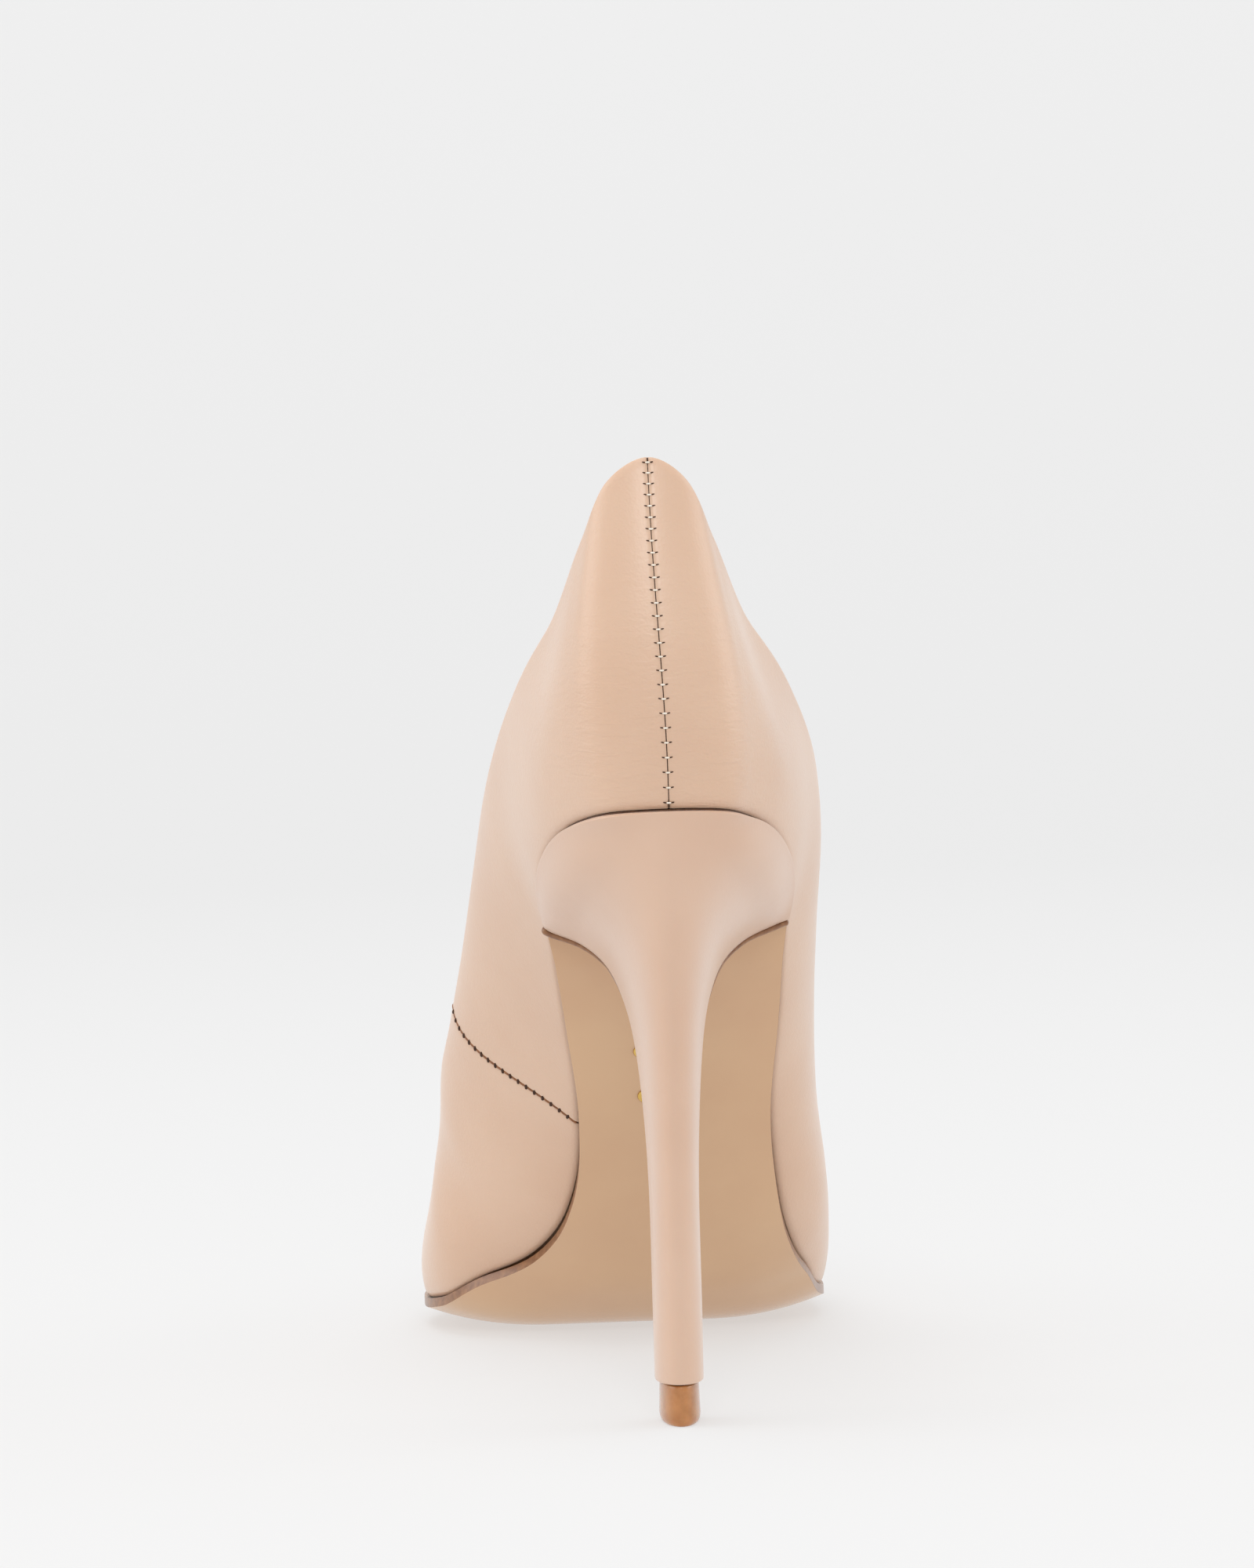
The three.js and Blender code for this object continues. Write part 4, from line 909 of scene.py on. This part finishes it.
sock_s = np.linspace(0.35, 16.6, 120)
left_edge, right_edge = sock_edge(INNER, sock_s), sock_edge(OUTER, sock_s)
across = np.linspace(0, np.pi, 25)
share = (1 - np.cos(across)) / 2
sock_xy = left_edge[:, None, :2] + (right_edge - left_edge)[:, None, :2] * share[None, :, None]
dish = -0.5 * np.sin(across)**0.5
sock_grid = above_sole(sock_xy[..., 0], sock_xy[..., 1], sock_height(sock_xy[..., 1]) + dish[None])
sock = link_object("sock_leather", grid_mesh("sock_leather", [sock_grid], [True]), [lining_leather])
thicken(sock, SOCK_MM, 0.12, 2)
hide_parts("sock_lining")
print("sock runs", round(float(np.ptp(sock_grid[..., 1])), 1), "mm along the shoe")

# %% [markdown]
# ### Foam pads
# Latex foam under the heel and the ball of the foot. They are hidden, but they are real pieces,
# so each is a crowned cushion with thin rounded edges rather than a slab.

# %% Foam pads
def foam_pad(name, y_low, y_high, inset, thick, node):
    """A cushion on the board between two places along the shoe: flat below, crowned above."""
    y = y_low + (y_high - y_low) * (1 - np.cos(np.linspace(0, np.pi, 26))) / 2
    share = (1 - np.cos(np.linspace(0, np.pi, 18))) / 2
    grid = []
    for upper_side in (True, False):
        rows = []
        for value in y:
            left, right = outline_x(INNER, value, inset), outline_x(OUTER, value, inset)
            along = np.clip((value - y_low) * (y_high - value) / 60.0, 0, 1)**0.5
            crown = along * np.clip(4 * share * (1 - share) * 3, 0, 1)**0.5
            height = board_height(value)
            if upper_side:
                height = height + thick * (0.12 + 0.88 * crown)
            rows.append(above_sole(left + (right - left) * share, np.full(18, value), height))
        grid.append(np.array(rows))
    item = link_object(name, grid_mesh(name, grid, [True, False]), [latex_foam])
    work = bmesh.new()
    work.from_mesh(item.data)
    rim = [e for e in work.edges if e.is_boundary]
    bmesh.ops.bridge_loops(work, edges=rim)
    bmesh.ops.recalc_face_normals(work, faces=work.faces)
    work.to_mesh(item.data)
    work.free()
    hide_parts(node)
    return item


PAD_INSET = 9.2
foam_pad("heel_foam", 12.5, 45.5, PAD_INSET, 1.9, "heel_pad")
ball = foam_pad("ball_foam", 117.5, 165.5, PAD_INSET, 1.4, "ball_pad")
print("ball pad points", len(ball.data.vertices))

# %% [markdown]
# ## Seams and stitches
# Thread, a raw edge, the painted shade of a needle hole and the dark line at the heel seat, which
# is partly painted shade of a gap, are all thin round things, so one helper makes them: a tube through
# a list of points with a radius at each. A curve with a bevel would do as well, but a tube with its
# own radii can swell, pinch and close at both ends.

# %% Thin tubes and small pits
def tube_mesh(paths, radii, sides=8):
    """Vertices and faces of closed tubes along lists of points, one radius per point."""
    vertices, faces = [], []
    for path, radius in zip(paths, radii):
        path, count = np.asarray(path, float), len(path)
        run = np.gradient(path, axis=0)
        run /= np.linalg.norm(run, axis=1, keepdims=True)
        side = np.cross(run, [0.31, 0.87, 0.38])
        side /= np.linalg.norm(side, axis=1, keepdims=True)
        other = np.cross(run, side)
        start = len(vertices)
        for i in range(count):
            for j in range(sides):
                turn = 2 * math.pi * j / sides
                vertices.append(path[i] + (side[i] * math.cos(turn) + other[i] * math.sin(turn)) * radius[i])
        for i in range(count - 1):
            for j in range(sides):
                a, b = start + i * sides + j, start + i * sides + (j + 1) % sides
                faces.append((a, b, b + sides, a + sides))
        faces.append(tuple(range(start, start + sides))[::-1])
        faces.append(tuple(range(start + (count - 1) * sides, start + count * sides)))
    return vertices, faces


def tube_piece(name, paths, radii, material, sides=8):
    vertices, faces = tube_mesh(paths, radii, sides)
    mesh = bpy.data.meshes.new(name)
    mesh.from_pydata(((np.array(vertices) + SHIFT) * MM).tolist(), [], faces)
    work = bmesh.new()
    work.from_mesh(mesh)
    bmesh.ops.recalc_face_normals(work, faces=work.faces)
    work.to_mesh(mesh)
    work.free()
    return link_object(name, mesh, [material])


def spindle(centre, along, length, radius, points=7):
    """A short path with radii that swell in the middle: a pit or a needle slit."""
    place = np.linspace(-1, 1, points)
    path = np.asarray(centre) + np.outer(place * length / 2, along)
    return path, radius * np.sqrt(np.clip(1 - place**2, 0.02, 1))


def leather_at(side, s, t, lift=0.0):
    """A point on the leather's face, lifted along its normal."""
    s, t = np.atleast_1d(np.asarray(s, float)), np.atleast_1d(np.asarray(t, float))
    return upper_point(side, s, t) + upper_normal(side, s, t) * lift


print("counter's top at", leather_at(OUTER, 0.0, 1.0)[0].round(1), "mm")

# %% [markdown]
# ### Back seam
# The two sides of the upper are sewn together down the back, and a row of cream stitches crosses
# the seam, pulled tight so that each end sinks into a small slit. The pitch grows downwards
# because lasting stretches the leather there.

# %% Back seam stitches
STITCHES, FIRST_PITCH, LAST_PITCH = 27, 1.85, 2.65
HALF_STITCH, THREAD_RADIUS, SLIT_ASIDE = 0.42, 0.17, 0.64
fine_t = np.linspace(0, 1, 600)
back_line = leather_at(OUTER, np.zeros(600), fine_t)
back_run = np.concatenate([[0], np.cumsum(np.linalg.norm(np.diff(back_line, axis=0), axis=1))])
pitch = np.linspace(FIRST_PITCH, LAST_PITCH, STITCHES - 1)
down = np.concatenate([[0], np.cumsum(pitch)])
down = 1.0 + down / down[-1] * (back_run[-1] - 2.1)
stitch_t = np.interp(back_run[-1] - down, back_run, fine_t)
threads, thread_radii, slits, slit_radii = [], [], [], []
for i, t in enumerate(stitch_t):
    centre = leather_at(OUTER, 0.0, t)[0]
    out = upper_normal(OUTER, np.array([0.0]), np.array([t]))[0]
    out[0] = 0.0
    out /= np.linalg.norm(out)
    up = np.array([0.0, -out[2], out[1]])
    up *= np.sign(up[2])
    across = np.linspace(-HALF_STITCH, HALF_STITCH, 9)
    bow = 0.02 - 0.05 * (across / HALF_STITCH)**4
    threads.append([centre + [a, 0, 0] + out * b for a, b in zip(across, bow)])
    thread_radii.append(THREAD_RADIUS * np.sqrt(np.clip(1.06 - (across / HALF_STITCH)**2, 0.05, 1)))
    for sign in (-1, 1):
        pull = 0.07 * math.sin(2.4 * i)
        lean = np.array([sign, 0, 0]) + up * 0.22
        path, radius = spindle(centre + [sign * SLIT_ASIDE, 0, 0] + up * (0.05 + pull * 0.3) - out * 0.03,
                               lean / np.linalg.norm(lean), 0.62, 0.13)
        slits.append(path)
        slit_radii.append(radius)
# Painted shade: the groove of the seam and the slits at each stitch are dark tubes that stand for the shade
# in the gap and in the pits.
seam_groove = leather_at(OUTER, np.zeros(220), np.linspace(0.004, 0.998, 220), -0.3)
tube_piece("back_seam_shadow_line", [seam_groove], [np.full(220, 0.13)], needle_shadow, 6)
tube_piece("back_seam_thread", threads, thread_radii, cream_thread)
tube_piece("back_seam_needle_slits", slits, slit_radii, needle_shadow, 6)
print("back seam stitches", len(threads))

# %% [markdown]
# ### Side seam
# On the inner side the quarter is lapped over the vamp. Its cut edge shows as a brown line, drawn
# in a little at each needle hole.

# %% Side seam edge and needle holes
seam_t = np.linspace(0.012, 0.992, 180)
seam_path = leather_at(INNER, side_seam(seam_t), seam_t, -0.24)
seam_run = np.concatenate([[0], np.cumsum(np.linalg.norm(np.diff(seam_path, axis=0), axis=1))])
HOLE_PITCH = 1.9
drawn_in = np.abs(np.sin(np.pi * seam_run / HOLE_PITCH))
tube_piece("side_seam_raw_edge", [seam_path], [0.2 + 0.16 * drawn_in], raw_edge)
holes, hole_radii = [], []
for place in np.arange(HOLE_PITCH, seam_run[-1] - 0.5, HOLE_PITCH):
    t = float(np.interp(place, seam_run, seam_t))
    here = leather_at(INNER, side_seam(t), t, -0.06)[0]
    ahead = leather_at(INNER, side_seam(min(1, t + 0.01)), min(1, t + 0.01), -0.06)[0] - here
    ahead /= np.linalg.norm(ahead)
    sideways = np.cross(ahead, upper_normal(INNER, np.array([side_seam(t)]), np.array([t]))[0])
    path, radius = spindle(here, sideways, 1.3, 0.34)
    holes.append(path)
    hole_radii.append(radius)
# Painted shade: each needle hole is a dark brown spindle that stands for the shade in its pit.
tube_piece("side_seam_needle_holes", holes, hole_radii, needle_shadow, 6)
print("side seam needle holes", len(holes))

# %% [markdown]
# ### Stained edge of the tongue
# The tongue's cut edge is stained brown. It stands out beside the leather of the heel, most where
# the heel flares, and follows both corners of the breast. Its own rounded strip catches the light
# as a burnished edge does, which a band of colour on the sole wouldn't.

# %% Stained edge of the tongue
def tongue_edge(corner, outward, beside_stem):
    """Path and radii of one edge: 0 or 1 for the inner or outer corner, and its way outwards."""
    line = breast_corners(150)[:, corner].copy()
    run = np.gradient(line, axis=0)
    ahead = np.stack([0 * run[:, 0], -run[:, 2], run[:, 1]], axis=-1)
    ahead /= np.linalg.norm(ahead, axis=1, keepdims=True)
    down_share = np.linspace(0, 1, len(line))
    flare = np.clip(1 - down_share / 0.4, 0, 1)**0.7
    line += ahead * (0.5 + 0.8 * flare)[:, None]
    line[:, 0] += outward * (beside_stem + (0.75 - beside_stem) * flare * np.clip(down_share / 0.08, 0, 1))
    radius = (0.36 + 0.32 * flare) * np.clip(down_share / 0.03, 0.4, 1)
    return line[2:-1], radius[2:-1]


edges = [tongue_edge(0, -1, 0.12), tongue_edge(1, 1, 0.42)]
tube_piece("tongue_stained_edge", [edge[0] for edge in edges], [edge[1] for edge in edges], sole_edge,
           10)
print("tongue edge points", len(edges[0][1]))

# %% [markdown]
# ### Heel seat
# The covered heel is glued and nailed up against the upper. In the corner between them a thin dark
# brown line shows: the brown leather edges in the gap and painted shade of the gap. A thin tube set
# into that corner paints it and hides where the two sheets stop.

# %% Edge and gap shade line round the heel seat
seat_k = np.linspace(-0.995, 0.995, 160)
seat_path = seat_line(seat_k, 0.42)
# Painted shade: a dark brown tube in the corner stands for the brown edges and the shade of the gap.
tube_piece("heel_seat_edge_and_gap_shade_line", [seat_path], [np.full(160, 0.34)], edge_and_gap_shade_line)
print("glue line points", len(seat_path))

# %% [markdown]
# ## Studs
# Two plain domed studs of gilt brass stand on the sole where it meets the heel breast. A dome
# with a rounded rim catches one small highlight, which a flat disc would not.

# %% Domed studs
STUD_RADIUS = 1.6
for node in ("sole_stud_rear", "sole_stud_front"):
    low, high = (np.array(corner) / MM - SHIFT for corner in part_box(node))
    middle = (low + high) / 2
    y = middle[1]
    away = above_sole(0, y, -3.0)[1:] - above_sole(0, y, 0.0)[1:]
    away = np.array([0.0, *(away / np.linalg.norm(away))])
    base = np.array([middle[0], *above_sole(0, y, -SOLE_GAP - SOLE_MM + 0.02)[1:]])
    side_axis, long_axis = np.array([1.0, 0, 0]), np.cross([1.0, 0, 0], away)
    section = [(0.0, 1.0), (0.18, 1.02), (0.34, 0.97), (0.5, 0.86), (0.62, 0.66), (0.7, 0.4), (0.73, 0.14)]
    rings = []
    for height, share in section:
        turn = np.linspace(0, 2 * np.pi, 33)
        ring = base + np.outer(np.cos(turn), side_axis) * STUD_RADIUS * share
        rings.append(ring + np.outer(np.sin(turn), long_axis) * STUD_RADIUS * share + away * height)
    stud = closed_rings("gilt_" + node, np.array(rings), [gold_plate])
    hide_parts(node)
    print(node, "at", base.round(1), "mm")

# %% [markdown]
# ## Pieces kept from the frame
# The heel's inner parts and the boards have their right shape already. They are hidden inside
# the shoe, and each still gets the material it is made of.

# %% Materials of the carried-over pieces
KEPT = {
    "heel_core": abs_plastic, "top_piece_dowel": bright_steel, "heel_tube": bright_steel,
    "heel_screw": bright_steel, "shank": bright_steel, "shank_rivet_1": bright_steel,
    "shank_rivet_2": bright_steel, "insole_board": fibreboard, "shank_board": stiff_board,
    "bottom_filler": cork_paste, "heel_counter": stiff_board, "toe_puff": stiff_board,
    "topline_tape": cotton_tape,
}
KEPT.update({f"heel_nail_{i}": bright_steel for i in range(1, 6)})
for node, material in KEPT.items():
    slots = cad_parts[node].data.materials
    slots.clear()
    slots.append(material)
print("kept pieces", len(KEPT))
